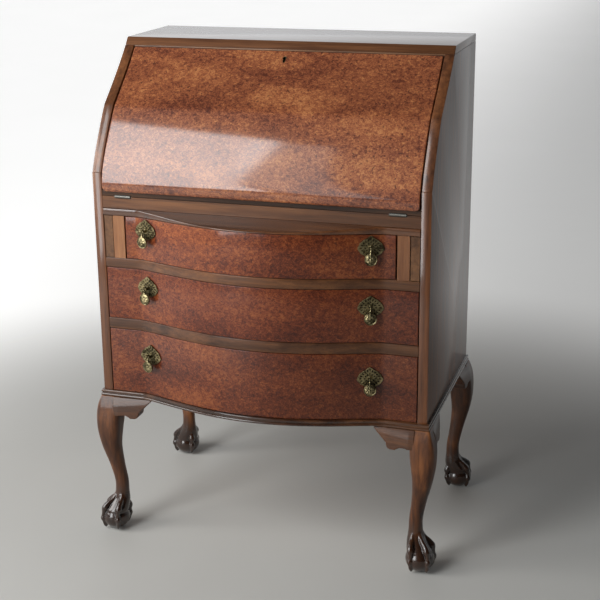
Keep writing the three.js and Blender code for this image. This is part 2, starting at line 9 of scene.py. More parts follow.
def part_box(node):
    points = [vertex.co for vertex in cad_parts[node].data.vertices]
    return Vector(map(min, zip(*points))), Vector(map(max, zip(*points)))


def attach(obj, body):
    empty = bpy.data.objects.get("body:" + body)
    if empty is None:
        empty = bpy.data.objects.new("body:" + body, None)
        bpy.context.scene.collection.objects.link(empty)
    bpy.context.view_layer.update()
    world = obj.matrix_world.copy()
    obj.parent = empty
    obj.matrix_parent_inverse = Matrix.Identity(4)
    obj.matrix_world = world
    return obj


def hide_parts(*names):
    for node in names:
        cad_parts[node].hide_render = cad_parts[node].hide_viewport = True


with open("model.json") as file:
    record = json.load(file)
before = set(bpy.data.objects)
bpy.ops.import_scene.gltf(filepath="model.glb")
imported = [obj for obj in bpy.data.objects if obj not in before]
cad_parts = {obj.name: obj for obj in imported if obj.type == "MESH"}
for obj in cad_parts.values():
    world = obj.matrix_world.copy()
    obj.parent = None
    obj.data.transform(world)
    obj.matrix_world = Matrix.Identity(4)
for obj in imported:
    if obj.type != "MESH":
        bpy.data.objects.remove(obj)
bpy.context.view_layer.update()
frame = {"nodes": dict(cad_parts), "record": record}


# ---------------------------------------------------------------- camera
# Stands to the right of the desk, a little above its top, and looks down on the fall. The
# lens is long, so the uprights of the case stay nearly parallel.
def new_object(name, data):
    """This camera, light or mesh as an object in the scene."""
    made = bpy.data.objects.new(name, data)
    bpy.context.scene.collection.objects.link(made)
    return made


yaw, pitch, roll = math.radians(17.528), math.radians(17.798), math.radians(-0.557)
looking = Vector((-math.sin(yaw) * math.cos(pitch), math.cos(yaw) * math.cos(pitch), -math.sin(pitch)))
level = looking.cross(Vector((0, 0, 1))).normalized()
upright = level.cross(looking)
camera_right = level * math.cos(roll) + upright * math.sin(roll)
camera_up = upright * math.cos(roll) - level * math.sin(roll)
camera_data = bpy.data.cameras.new("camera")
camera_data.lens = 79.55
camera_data.sensor_width = 36
camera = new_object("camera", camera_data)
camera.matrix_world = Matrix((camera_right, camera_up, -looking)).transposed().to_4x4()
camera.location = (0.8544, -2.6170, 1.3839)
bpy.context.scene.camera = camera
bpy.context.scene.view_settings.view_transform = "Standard"


# ---------------------------------------------------------------- floor and light
# A plain pale floor with painted light, glowing brighter away from the desk and to the left, a
# tall soft window to the left of the camera, a second further round, and a room that is pale behind the desk
# and dim in front.
class Wire:
    """A socket in a node tree. Arithmetic on it adds Math nodes; node() adds any other."""

    def __init__(self, tree, socket=None):
        self.tree = tree
        self.socket = socket

    def node(self, kind, settings=None, feeds=None, out=0):
        """A new node, its settings made first, then its sockets fed. Gives the wire of one output."""
        made = self.tree.nodes.new(kind)
        for name, value in (settings or {}).items():
            if name == "stops":
                ramp = made.color_ramp
                for place, _ in value[1:-1]:
                    ramp.elements.new(place)
                for element, (place, colour) in zip(ramp.elements, value):
                    element.position = place
                    element.color = (*colour, 1)
            else:
                setattr(made, name, value)
        for name, value in (feeds or {}).items():
            if isinstance(value, Wire):
                self.tree.links.new(value.socket, made.inputs[name])
            else:
                made.inputs[name].default_value = value
        return Wire(self.tree, made.outputs[out] if len(made.outputs) else None)

    def sum(self, operation, first, second=0.0):
        """The outcome of one Math node."""
        return self.node("ShaderNodeMath", {"operation": operation}, {0: first, 1: second})

    def __add__(self, other):
        return self.sum("ADD", self, other)

    __radd__ = __add__

    def __sub__(self, other):
        return self.sum("SUBTRACT", self, other)

    def __rsub__(self, other):
        return self.sum("SUBTRACT", other, self)

    def __mul__(self, other):
        return self.sum("MULTIPLY", self, other)

    __rmul__ = __mul__

    def along(self, axis):
        """How far this place is along X, Y or Z."""
        return self.node("ShaderNodeSeparateXYZ", feeds={0: self}, out=axis)

    def between(self, low, high):
        """0 below low, 1 above high, smooth in between."""
        return self.node("ShaderNodeMapRange", {"interpolation_type": "SMOOTHSTEP"},
                         {"Value": self, "From Min": low, "From Max": high})

    def mix(self, share, first, second, how="MIX"):
        """Colours first and second blended by share."""
        return self.node("ShaderNodeMix", {"data_type": "RGBA", "blend_type": how},
                         {0: share, 6: first, 7: second}, out=2)

    def noise(self, size, detail=3.0, rough=0.5, twist=0.0, stretch=(1, 1, 1), shift=(0, 0, 0)):
        """Cloudy noise on this place, with blotches about size metres across."""
        scale = [1 / (size * s) for s in stretch]
        mapped = self.node("ShaderNodeMapping", feeds={"Vector": self, "Location": shift, "Scale": scale})
        return mapped.node("ShaderNodeTexNoise", feeds={
            "Vector": mapped, "Scale": 1.0, "Detail": detail, "Roughness": rough, "Distortion": twist})

    def bump(self, depth, strength=1.0):
        """A bump of this height pattern, depth metres high."""
        return self.node("ShaderNodeBump", feeds={"Strength": strength, "Distance": depth, "Height": self})


def surface(name, paint, uniform):
    """A material. paint(place) gives what varies; uniform values are set on the shader itself."""
    material = bpy.data.materials.new(name)
    material.use_nodes = True
    tree = material.node_tree
    tree.nodes.clear()
    wires = Wire(tree)
    place = wires.node("ShaderNodeTexCoord", out=3)
    shader = wires.node("ShaderNodeBsdfPrincipled", feeds={**uniform, **paint(place)})
    wires.node("ShaderNodeOutputMaterial", feeds={"Surface": shader})
    return material


def pale(place):
    """A smooth floor, faintly clouded, with painted light: it glows a little away from the desk, more to the
    left.
    """
    cloud = place.noise(0.5, 4)
    across, back = place.along("X"), place.along("Y")
    far = (across * across + back * back).between(0.35, 3.4) * (back - across).between(-1.4, 0.8)
    bright = 0.80 - 0.50 * across.between(-2.0, 0.6)
    return {"Base Color": place.mix(cloud, (0.50, 0.49, 0.465, 1), (0.58, 0.57, 0.54, 1)),
            "Roughness": 0.45 + 0.2 * cloud,
            "Emission Color": place.mix(far * bright, (0, 0, 0, 1), (1.0, 1.0, 1.0, 1))}


floor_mesh = bpy.data.meshes.new("floor")
floor_mesh.from_pydata([(-16, -12, 0), (16, -12, 0), (16, 20, 0), (-16, 20, 0)], [], [(0, 1, 2, 3)])
floor_mesh.materials.append(surface("pale_floor", pale, {
    "Specular IOR Level": 0.3, "Emission Strength": 1.0}))
floor = new_object("floor", floor_mesh)

world = bpy.data.worlds.new("studio")
world.use_nodes = True
world.node_tree.nodes.clear()
room = Wire(world.node_tree)
toward = room.node("ShaderNodeTexCoord", out=0)
side_ways, back_ways, upward = (toward.along(axis) for axis in "XYZ")
behind = back_ways.between(0.0, 0.7)
wall = 1.02 - 0.55 * side_ways.between(-0.5, 0.15)
glow = 0.095 - 0.075 * side_ways.between(-0.6, 0.5) + behind * wall * (1 - upward.between(0.25, 0.75))
left_wall = 0.62 * (1 - side_ways.between(-0.95, -0.55)) * (1 - upward.between(0.1, 0.5))
tint = toward.mix(glow + left_wall * (1 - behind), (0, 0, 0, 1), (0.97, 0.985, 1.0, 1))
sky = toward.node("ShaderNodeBackground", feeds={"Color": tint, "Strength": 1.0})
toward.node("ShaderNodeOutputWorld", feeds={"Surface": sky})
bpy.context.scene.world = world


def panel(name, place, target, width, height, power, colour, lean=0):
    """A soft light at place, facing target, turned lean degrees about its own axis."""
    light_data = bpy.data.lights.new(name, "AREA")
    light_data.shape = "RECTANGLE"
    light_data.size, light_data.size_y = width, height
    light_data.energy = power
    light_data.color = colour
    light = new_object(name, light_data)
    light.location = place
    facing = (Vector(target) - Vector(place)).to_track_quat("-Z", "Y")
    light.rotation_euler = (facing @ Quaternion((0, 0, 1), math.radians(lean))).to_euler()
    light.visible_camera = False


daylight = (0.96, 0.985, 1.0)
the_fall = (0, -0.2, 1.1)
panel("window", (-1.62, -2.75, 2.1), the_fall, 1.10, 3.7, 100, daylight, 12)
panel("window_edge", (-0.90, -2.98, 2.1), the_fall, 0.42, 3.7, 9, daylight, 12)
panel("side_window", (-2.2, -1.2, 1.6), (0, 0, 0.6), 1.2, 1.5, 38, (1.0, 0.99, 0.97))


# ---------------------------------------------------------------- case sides
# Solid walnut boards, 20 mm thick, sawn to the bureau's slope. Their front edges are what
# shows as posts beside the drawers. Glued and dowelled to the rails, then french polished.
MM = 0.001
post_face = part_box("side_left")[0].y        # plane of the posts
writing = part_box("writing_bed")[1].z        # height of the writing surface


def bezier(a, b, c, d, steps):
    """Points of a cubic curve from a to d, both ends in."""
    a, b, c, d = (np.array(p, float) for p in (a, b, c, d))
    t = np.linspace(0, 1, steps + 1)[:, None]
    return (1 - t) ** 3 * a + 3 * (1 - t) ** 2 * t * b + 3 * (1 - t) * t ** 2 * c + t ** 3 * d


def skin(rings):
    """Points and faces over a run of like rings, closed at both ends."""
    count = len(rings[0])
    points = [tuple(p) for ring in rings for p in ring]
    faces = []
    for a in range(len(rings) - 1):
        for i in range(count):
            j = (i + 1) % count
            faces.append((a * count + i, a * count + j, (a + 1) * count + j, (a + 1) * count + i))
    faces.append(tuple(range(count))[::-1])
    faces.append(tuple(range((len(rings) - 1) * count, len(rings) * count)))
    return points, faces


def shade(mesh, sharp=32):
    """Smooth shading, except over edges that turn more than sharp degrees."""
    mesh.polygons.foreach_set("use_smooth", [True] * len(mesh.polygons))
    mesh.set_sharp_from_angle(angle=math.radians(sharp))


def piece_of(name, points, faces, material, sharp=32):
    """A closed piece as a new object, faces outwards."""
    mesh = bpy.data.meshes.new(name)
    mesh.from_pydata(points, [], faces)
    work = bmesh.new()
    work.from_mesh(mesh)
    bmesh.ops.remove_doubles(work, verts=work.verts, dist=1e-6)
    bmesh.ops.recalc_face_normals(work, faces=work.faces)
    work.to_mesh(mesh)
    work.free()
    shade(mesh, sharp)
    mesh.materials.append(material)
    return new_object(name, mesh)


def settle(piece, sharp=32):
    """Takes the piece's modifiers into its mesh."""
    depsgraph = bpy.context.evaluated_depsgraph_get()
    done = bpy.data.meshes.new_from_object(piece.evaluated_get(depsgraph))
    piece.modifiers.clear()
    old = piece.data
    piece.data = done
    bpy.data.meshes.remove(old)
    done.name = piece.name
    shade(done, sharp)


def ease(piece, radius, steps=2):
    """Rounds the piece's arrises."""
    bevel = piece.modifiers.new("eased", "BEVEL")
    bevel.width = radius
    bevel.segments = steps
    bevel.limit_method = "ANGLE"
    bevel.angle_limit = math.radians(40)
    settle(piece)


def straight_walnut(name, grain, dark, mid, light, gloss=0.24, coat=0.9, shift=(0, 0, 0), painted_shade_right=0):
    """Straight-grained walnut; grain says how far the figure is drawn out along each axis, and the
    last argument how much painted shade darkens it to the right."""
    def paint(place):
        cloud = place.noise(0.16, 3, 0.5, 0.4, [1 + (g - 1) * 0.12 for g in grain], shift)
        stripe = place.noise(0.011, 4, 0.6, 0.25, grain, shift)
        pores = place.noise(0.0016, 2, 0.6, 0.0, [g * 1.6 if g > 1 else g for g in grain], shift)
        figure = 0.42 * cloud + 0.40 * stripe + 0.18 * pores
        colour = place.node("ShaderNodeValToRGB", {"stops": [
            (0.36, dark), (0.50, mid), (0.66, light)]}, {"Fac": figure})
        # Painted shade: darker towards the right, where less light falls.
        if painted_shade_right:
            shaded = painted_shade_right * place.along("X").between(-0.12, 0.30)
            colour = place.mix(shaded, colour, (*[c * 0.8 for c in dark], 1))
        slits = pores.between(0.60, 0.72)
        return {"Base Color": place.mix(0.45 * slits, colour, (*[c * 0.35 for c in dark], 1)),
                "Roughness": gloss + 0.18 * stripe,
                "Normal": (figure - 0.5 * slits).bump(0.00025, 0.35)}
    return surface(name, paint, {
        "Coat Weight": 0.6 * coat, "Coat Roughness": 0.12, "Specular IOR Level": 0.25})


side_walnut = straight_walnut("side_walnut", (1, 1, 22), (0.036, 0.012, 0.005), (0.130, 0.046, 0.017),
                              (0.29, 0.108, 0.036), gloss=0.28, coat=1.1)
# Points on the side's front edge, back from the posts and up from the writing surface.
ledge = [0.5, 48]
shoulder = [2, 48]
bend = [75, 177]
crown = [191.5, 283.7]
slope = np.vstack([bezier(shoulder, [10, 78], [58, 154], bend, 24),
                   bezier(bend, [108, 205], [154, 243], crown, 24)[1:]])
for side in ("left", "right"):
    low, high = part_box(f"side_{side}")
    outline = [(post_face, low.z)]
    outline += [(post_face + y * MM, writing + z * MM) for y, z in ([0, 47.2], ledge, *slope)]
    outline += [(high.y, high.z), (high.y, low.z)]
    board = piece_of(f"side_board_{side}", *skin([[(x, y, z) for y, z in outline] for x in (low.x, high.x)]),
                     side_walnut)
    ease(board, 0.7 * MM)
    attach(board, "case")
    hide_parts(f"side_{side}")


# ---------------------------------------------------------------- top board
# One walnut board lapped over the sides and glued down. Its front edge is cut to the slope of
# the fall and its arrises are eased.
top_walnut = straight_walnut("top_walnut", (22, 1, 1), (0.036, 0.013, 0.006), (0.105, 0.041, 0.017),
                             (0.22, 0.090, 0.035), coat=1.3, shift=(3, 1, 7))
low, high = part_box("top_board")
outline = [(low.y, low.z), (low.y + 13.5 * MM, high.z), (high.y, high.z), (high.y, low.z)]
top = piece_of("top", *skin([[(x, y, z) for y, z in outline] for x in (low.x, high.x)]), top_walnut)
ease(top, 1.1 * MM, 3)
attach(top, "case")
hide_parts("top_board")


# ---------------------------------------------------------------- fall
# The bombe fall: a shaped core veneered in burr walnut and glossed. It turns on two butt
# hinges at its foot; the lower corners are rounded and the lip overhangs the hinge line.
low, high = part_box("fall_shell")
pin_back = 0.5                              # hinge pin's place behind the posts
pin = Vector((0, post_face + pin_back * MM, writing))
fall_top = [190.3, 282.7]                   # its outer top edge, back and up as for the sides
fall_length = 338.2
edge_thickness = 9.6
side_gap, top_gap = 1.8, 2.4                # it clears the sides and the top by fine dark lines
corner, arris = 11, 1.8
lining_face = 6.35                          # shell's inside above the fall's inner face
lean = (math.atan2(fall_top[0] - pin_back, fall_top[1])
        + math.asin(edge_thickness / math.hypot(fall_top[0] - pin_back, fall_top[1])))
up_fall = np.array([math.sin(lean), math.cos(lean)])       # back and up, along the inner face
out_fall = np.array([-math.cos(lean), math.sin(lean)])     # forward and up, square to it


def burr_walnut(name, shift, tone, gloss, fittings=()):
    """Burr veneer: close curls and dark flecks in drifting light and dark patches, under gloss lacquer.
    Given fittings, painted shade darkens it to the right and in discs behind them."""
    def paint(place):
        cloud = place.noise(0.075, 2, 0.5, 0.4, (2.4, 1, 1), shift)
        curl = place.noise(0.014, 3, 0.6, 1.4, (1.3, 1, 1), shift)
        fleck = place.noise(0.0052, 3, 0.75, 0.9, (1.25, 1, 1), shift)
        speck = place.noise(0.0024, 2, 0.7, 0.6, (1.3, 1, 1), shift)
        grain = place.noise(0.0011, 2, 0.6, 2.5, (2.2, 1, 1), shift)
        figure = (0.5 + 0.50 * (cloud - 0.5) + 0.30 * (grain - 0.5) + 0.46 * (curl - 0.5)
                  + 0.80 * (fleck - 0.5) + 0.55 * (speck - 0.5))
        stops = [(0.28, (0.085, 0.019, 0.009)), (0.42, (0.190, 0.050, 0.020)),
                 (0.54, (0.310, 0.090, 0.033)), (0.74, (0.53, 0.205, 0.072))]
        colour = place.node("ShaderNodeValToRGB", {
            "stops": [(at, tuple(c * t for c, t in zip(colour, tone))) for at, colour in stops]},
            {"Fac": figure})
        if fittings:
            # Painted shade: darker to the right, and in discs 14 to 24 mm round each pull so its openings
            # read dark.
            pull_and_right_shade = 0.34 * place.along("X").between(-0.12, 0.30)
            for fitted in fittings:
                away = place.node("ShaderNodeVectorMath", {"operation": "DISTANCE"},
                                  {0: place, 1: fitted}, out=1)
                pull_and_right_shade = pull_and_right_shade + 0.9 * (1 - away.between(0.014, 0.024))
            colour = place.mix(pull_and_right_shade, colour, (0.012, 0.005, 0.003, 1))
        eyes = place.noise(0.0055, 1, 0.4, 0.3, (1, 1, 1), [s + 5 for s in shift]).between(0.64, 0.72)
        wear = place.noise(0.05, 5, 0.7, 0.0, (1, 1, 1), shift)
        return {"Base Color": place.mix(0.65 * eyes, colour, (0.045, 0.013, 0.008, 1)),
                "Roughness": 0.24 + 0.2 * wear,
                "Normal": place.noise(0.016, 3, 0.6).bump(0.00010, 0.25)}
    return surface(name, paint, {"Coat Weight": gloss, "Coat Roughness": 0.08, "Specular IOR Level": 0.22})


fall_burr = burr_walnut("fall_burr", (0, 0, 0), (0.95, 1.0, 1.05), 1.0)
outer = np.vstack([bezier([-0.5, edge_thickness], [-3, edge_thickness], [-5, 15], [-5, 28], 24),
                   bezier([-5, 28], [-5, 64], [59, 153], [76.2, 175.8], 60)[1:],
                   bezier([76.2, 175.8], [109, 203.8], [155, 241.8], fall_top, 50)[1:]])
run = np.concatenate([[0], np.cumsum(np.linalg.norm(np.diff(outer, axis=0), axis=1))])
tangent = np.gradient(outer, run, axis=0)
tangent /= np.linalg.norm(tangent, axis=1)[:, None]


def rounded(reach, radius):
    """How far a quarter round of this radius stands back, reach in from its edge."""
    inside = max(0.0, radius - reach)
    return radius - math.sqrt(radius ** 2 - inside ** 2)


def fall_ring(x, from_end):
    """The fall's section at x, from_end millimetres in from its end."""
    lift = rounded(from_end, corner)
    foot = edge_thickness + lift
    start = float(np.interp(foot, outer[:60, 1], run[:60])) if lift else 0.0
    steps = np.concatenate([[0, 0.2, 0.6, 1.2, 1.8, 3, 5, 8], np.linspace(12, run[-1] - start - top_gap, 46)])
    face = pin_back + (foot * out_fall[1] - lining_face) / -out_fall[0]
    ring = [(x, face, foot)]
    for step in steps:
        y, z = (np.interp(start + step, run, outer[:, k]) for k in (0, 1))
        ty, tz = (np.interp(start + step, run, tangent[:, k]) for k in (0, 1))
        back = rounded(from_end, arris) + rounded(step, arris) * lift / corner
        ring.append((x, y + tz * back, z - ty * back))
    inside = np.array([pin_back, 0]) + up_fall * fall_length + out_fall * lining_face
    ring.append((x, inside[0], inside[1]))
    return [(px, post_face + py * MM, writing + pz * MM) for px, py, pz in ring]


from_ends = [0, 0.2, 0.6, 1.2, 1.8, 3, 4.5, 6.5, 9, 11, 20, 45, 80, 120, 170, 220, 270, 310]
half = high.x / MM - side_gap
columns = [(-half + e, e) for e in from_ends] + [(0, 300)] + [(half - e, e) for e in from_ends[::-1]]
shell = piece_of("fall_veneered", *skin([fall_ring(x * MM, e) for x, e in columns]), fall_burr, 38)
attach(shell, "fall")
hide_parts("fall_shell")


# ---------------------------------------------------------------- serpentine rails
# Walnut rails between the drawers, and a deeper one under the fall whose top is weathered
# away towards the middle of the bow. All are sawn to one serpentine line and dowelled in.
bow_depth, bow_half_width = 57, 262


def serpentine(x):
    """How far the front stands out of the posts at x, in millimetres."""
    return bow_depth * max(0.0, 1 - (x / bow_half_width) ** 2) ** 1.3


def bowed(half_width, back_of, low_z, high_of, proud, nose, arc=4):
    """Rings of a board whose front follows the serpentine, its front arrises rounded to nose.
    back_of(x) is the place of its back, high_of(out) the height of its top that far out."""
    ends = [0, 0.3, 0.9, 1.8, 8]
    inside = np.linspace(-half_width + 14, half_width - 14, 113)
    stations = [-half_width + e for e in ends] + list(inside) + [half_width - e for e in ends[::-1]]
    rings = []
    for x in stations:
        front = -proud - serpentine(x) + rounded(half_width - abs(x), 0.9)
        high_z = high_of(-front)
        r = min(nose, (high_z - low_z) * 0.49)
        turns = [math.radians(90 * k / arc) for k in range(arc + 1)]
        ring = [(back_of(x), low_z)]
        ring += [(front + r * (1 - math.sin(t)), low_z + r * (1 - math.cos(t))) for t in turns]
        ring += [(front + r * (1 - math.sin(t)), high_z - r * (1 - math.cos(t))) for t in turns[::-1]]
        if high_of(0) > high_z:
            ring += [(0, high_of(0))]
        ring += [(back_of(x), high_of(0))]
        rings.append([(x * MM, post_face + y * MM, z * MM) for y, z in ring])
    return rings


# The rails carry painted shade, darker towards the right.
rail_walnut = straight_walnut("rail_walnut", (22, 1, 1), (0.032, 0.012, 0.005), (0.115, 0.044, 0.017),
                              (0.26, 0.102, 0.034), coat=0.6, shift=(1, 4, 2), painted_shade_right=0.5)
for rail in ("upper_drawer_rail", "lower_drawer_rail"):
    low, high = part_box(rail)
    made = piece_of(rail.replace("drawer", "bowed"), *skin(bowed(
        high.x / MM, lambda x: 60, low.z / MM, lambda out: high.z / MM, 0, 1.1)), rail_walnut)
    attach(made, "case")
    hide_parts(rail)

low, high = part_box("bow_top_rail")
bow_rail_back = (high.y - post_face) / MM
bow_rail_top, worn_slope = 733, 0.233
bow_rail = piece_of("bow_rail", *skin(bowed(
    high.x / MM, lambda x: bow_rail_back, low.z / MM,
    lambda out: bow_rail_top - worn_slope * max(out, 0.01), 2, 2.4)),
    straight_walnut("bow_rail_walnut", (22, 1, 1), (0.030, 0.011, 0.005), (0.090, 0.033, 0.013),
                    (0.21, 0.080, 0.028), gloss=0.14, coat=1.6, shift=(5, 2, 2)))
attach(bow_rail, "case")
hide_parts("bow_top_rail")


def refinish(node, material):
    """Gives one of the frame's own pieces this material."""
    materials = frame["nodes"][node].data.materials
    materials.clear()
    materials.append(material)


refinish("hinge_rail", rail_walnut)


# ---------------------------------------------------------------- drawer fronts
# Serpentine fronts, 20 mm thick, sawn from the solid and veneered in burr walnut. The polish
# is duller than the fall's; painted shade darkens them towards the right and round the pulls.
shifts = {"top": (3, 5, 1), "middle": (8, 2, 9), "bottom": (1, 9, 4)}
tones = {"top": (0.66, 0.50, 0.38), "middle": (0.53, 0.38, 0.31), "bottom": (0.50, 0.38, 0.31)}
gaps = {"top": 2.0, "middle": 0.9, "bottom": 0.9}
front_thickness = 20
pull_heights = {"top": 0.692, "middle": 0.570, "bottom": 0.420}
pull_across, pull_face = 0.238, -0.203979
for name in ("top", "middle", "bottom"):
    low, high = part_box(f"{name}_drawer_front")
    pulls = [(way * pull_across, pull_face, pull_heights[name] - 1 * MM) for way in (-1, 1)]
    front = piece_of(f"{name}_veneered_front", *skin(bowed(
        high.x / MM - gaps[name], lambda x: front_thickness - serpentine(x), low.z / MM,
        lambda out: high.z / MM, 0, 0.9)),
        burr_walnut(f"{name}_drawer_burr", shifts[name], tones[name], 0.4, pulls))
    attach(front, f"{name}_drawer")
    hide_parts(f"{name}_drawer_front")


# ---------------------------------------------------------------- base moulding
# A walnut strip under the case, two beads and a quirk worked along it. It follows the bow and
# is mitred at the front corners.

# How far the moulding stands out at each height above the floor.
moulding = [(4.4, 316.3), (5.5, 316.9), (6, 318.8), (5.6, 320.5), (4.4, 321.4), (3.3, 321.8), (3.1, 322.5),
            (3.4, 323.2), (4.5, 323.7), (5, 325.2), (5, 327), (4.5, 328.5), (3.4, 329)]
low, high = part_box("base_moulding")
back = (high.y - post_face) / MM
half, inner, depth = 355, 325, 30           # case's half width, and how far in the strip reaches
# Each station: a place on the case's foot, the way out from it, and the strip's inner edge there.
plan = [((-half, back), (-1, 0), (-inner, back)), ((-half, 0), (-1, -1), (-inner, depth))]
for x in np.linspace(1 - half, half - 1, 119):
    lean_out = serpentine(x + 0.5) - serpentine(x - 0.5)
    length = math.hypot(1, lean_out)
    plan.append(((x, -serpentine(x)), (-lean_out / length, -1 / length), (x * inner / half, depth)))
plan += [((half, 0), (1, -1), (inner, depth)), ((half, back), (1, 0), (inner, back))]
rings = []
for (x, y), (out_x, out_y), (in_x, in_y) in plan:
    ring = [(in_x, in_y, moulding[0][1])]
    ring += [(x + out_x * proud, y + out_y * proud, z) for proud, z in moulding]
    ring += [(in_x, in_y, moulding[-1][1])]
    rings.append([(px * MM, post_face + py * MM, pz * MM) for px, py, pz in ring])
base = piece_of("base_beads", *skin(rings), straight_walnut(
    "base_walnut", (22, 1, 1), (0.014, 0.006, 0.004), (0.052, 0.021, 0.010), (0.17, 0.068, 0.026),
    gloss=0.18, coat=1.4, shift=(2, 8, 3)), 40)
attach(base, "case")
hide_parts("base_moulding")


# ---------------------------------------------------------------- cabriole legs
# Each is carved from one block of walnut: square shoulder, rounded knee, slim ankle, and a ball
# gripped by four claws. Stained dark, with the polish rubbed back to orange on the high parts.
def carve(piece, grain_size, soften):
    """Fuses overlapping forms into one carved surface."""
    fuse = piece.modifiers.new("fuse", "REMESH")
    fuse.mode = "VOXEL"
    fuse.voxel_size = grain_size
    soft = piece.modifiers.new("soften", "SMOOTH")
    soft.factor = 0.5
    soft.iterations = soften
    settle(piece, 70)


def rows_of(mesh, what="co"):
    """Each vertex's place or normal, as rows of x, y and z."""
    values = np.empty(len(mesh.vertices) * 3)
    mesh.vertices.foreach_get(what, values)
    return values.reshape(-1, 3)


def mark_wear(mesh):
    """Writes how far each point stands out from those around it, as the attribute wear."""
    points, normals = rows_of(mesh), rows_of(mesh, "normal")
    ends = np.empty(len(mesh.edges) * 2, int)
    mesh.edges.foreach_get("vertices", ends)
    ends = ends.reshape(-1, 2)
    degree = np.maximum(np.bincount(ends.ravel(), minlength=len(points)), 1)

    def around(value):
        total = np.zeros_like(value)
        np.add.at(total, ends[:, 0], value[ends[:, 1]])
        np.add.at(total, ends[:, 1], value[ends[:, 0]])
        return total / (degree[:, None] if value.ndim > 1 else degree)

    wide = points
    for _ in range(6):
        wide = around(wide)
    worn = ((points - wide) * normals).sum(1)
    for _ in range(2):
        worn = around(worn)
    attribute = mesh.attributes.new("wear", "FLOAT", "POINT")
    attribute.data.foreach_set("value", np.clip(worn / 0.0009 + 0.5, 0, 1).astype(np.float32))


def carved_walnut(place):
    """Dark stain, rubbed back where the carving stands out, and black in its hollows."""
    worn = place.node("ShaderNodeAttribute", {"attribute_name": "wear"}, out=2)
    foot = 1 - place.along("Z").between(0.060, 0.120)
    stripe = place.noise(0.010, 4, 0.6, 0.4, (1, 1, 14))
    cloud = place.noise(0.06, 4, 0.6, 0.5, (1, 1, 2.5))
    rubbed = (worn + 0.9 * (cloud - 0.5)).between(0.62, 0.98)
    hollow = 1 - worn.between(0.10, 0.42)
    stain = place.node("ShaderNodeValToRGB", {"stops": [
        (0.34, (0.022, 0.008, 0.004)), (0.50, (0.086, 0.029, 0.010)), (0.68, (0.225, 0.078, 0.023))]},
        {"Fac": 0.45 * stripe + 0.55 * cloud})
    darker = place.mix(0.82 * foot, stain, (0.016, 0.008, 0.005, 1))
    polished = place.mix(0.60 * rubbed * (1 - foot), darker, (0.24, 0.092, 0.034, 1))
    return {"Base Color": place.mix(0.8 * hollow, polished, (0.008, 0.005, 0.004, 1)),
            "Coat Weight": 0.22 + 0.65 * foot,
            "Roughness": 0.30 + 0.20 * cloud - 0.16 * foot,
            "Normal": (0.6 * stripe + 0.4 * cloud).bump(0.0004, 0.3)}


leg_walnut = surface("leg_walnut", carved_walnut, {"Coat Roughness": 0.10, "Specular IOR Level": 0.3})

leg_height = 315.7
# Height, distance out across and along the case, radius, and squareness of the section.
leg_rings = [(34, 0, 0, 25, 2), (46, -2, -2, 26.5, 2), (56, -6, -6, 23.5, 2), (66, -9.6, -9.6, 20, 2),
             (76, -11.6, -11.6, 17, 2), (88, -12.4, -12.4, 15, 2.1), (112, -12.0, -12.4, 14.2, 2.3),
             (150, -5.8, -8.6, 15.4, 2.5), (195, 1.5, -3.0, 20.0, 2.7), (230, 3.4, -2.6, 24.4, 3.2),
             (256, 2.7, -4.0, 26.0, 4.2), (276, 1.7, -5.3, 25.6, 5.5), (292, -0.3, -6.8, 24.6, 8),
             (304, -2.4, -9.4, 23.2, 12), (leg_height, -5.4, -14.4, 22.3, 18)]
ball_radius, ball_half_height = 30.4, 27.2
talons = [0, 76, -76, 180]                  # turn from the foot's outer corner


def leg_section(height, across, along, radius, squareness, steps=64):
    """A ring of the front left leg about its foot, square sides parallel to the case."""
    ring = []
    for k in range(steps):
        c, s = math.cos(2 * math.pi * k / steps), math.sin(2 * math.pi * k / steps)
        reach = radius * (abs(c) ** squareness + abs(s) ** squareness) ** (-1 / squareness)
        ring.append((-across + reach * c, -along + reach * s, height))
    return ring


def tube(path, steps=14):
    """A closed round limb through (place, radius) pairs."""
    rings = []
    for i, (place, radius) in enumerate(path):
        ahead = Vector(path[min(i + 1, len(path) - 1)][0]) - Vector(path[max(i - 1, 0)][0])
        across = ahead.cross(Vector((0.31, 0.17, 0.93))).normalized()
        other = across.cross(ahead).normalized()
        rings.append([Vector(place) + (across * math.cos(2 * math.pi * k / steps)
                                       + other * math.sin(2 * math.pi * k / steps)) * radius
                      for k in range(steps)])
    return skin(rings)


def smooth_run(rows, steps):
    """Rows of numbers, filled in smoothly between."""
    rows = np.array(rows, float)
    slopes = np.gradient(rows, axis=0)
    filled = []
    for t in np.linspace(0, len(rows) - 1, steps):
        i = min(int(t), len(rows) - 2)
        f = t - i
        filled.append((2 * f ** 3 - 3 * f ** 2 + 1) * rows[i] + (f ** 3 - 2 * f ** 2 + f) * slopes[i]
                      + (3 * f ** 2 - 2 * f ** 3) * rows[i + 1] + (f ** 3 - f ** 2) * slopes[i + 1])
    return filled


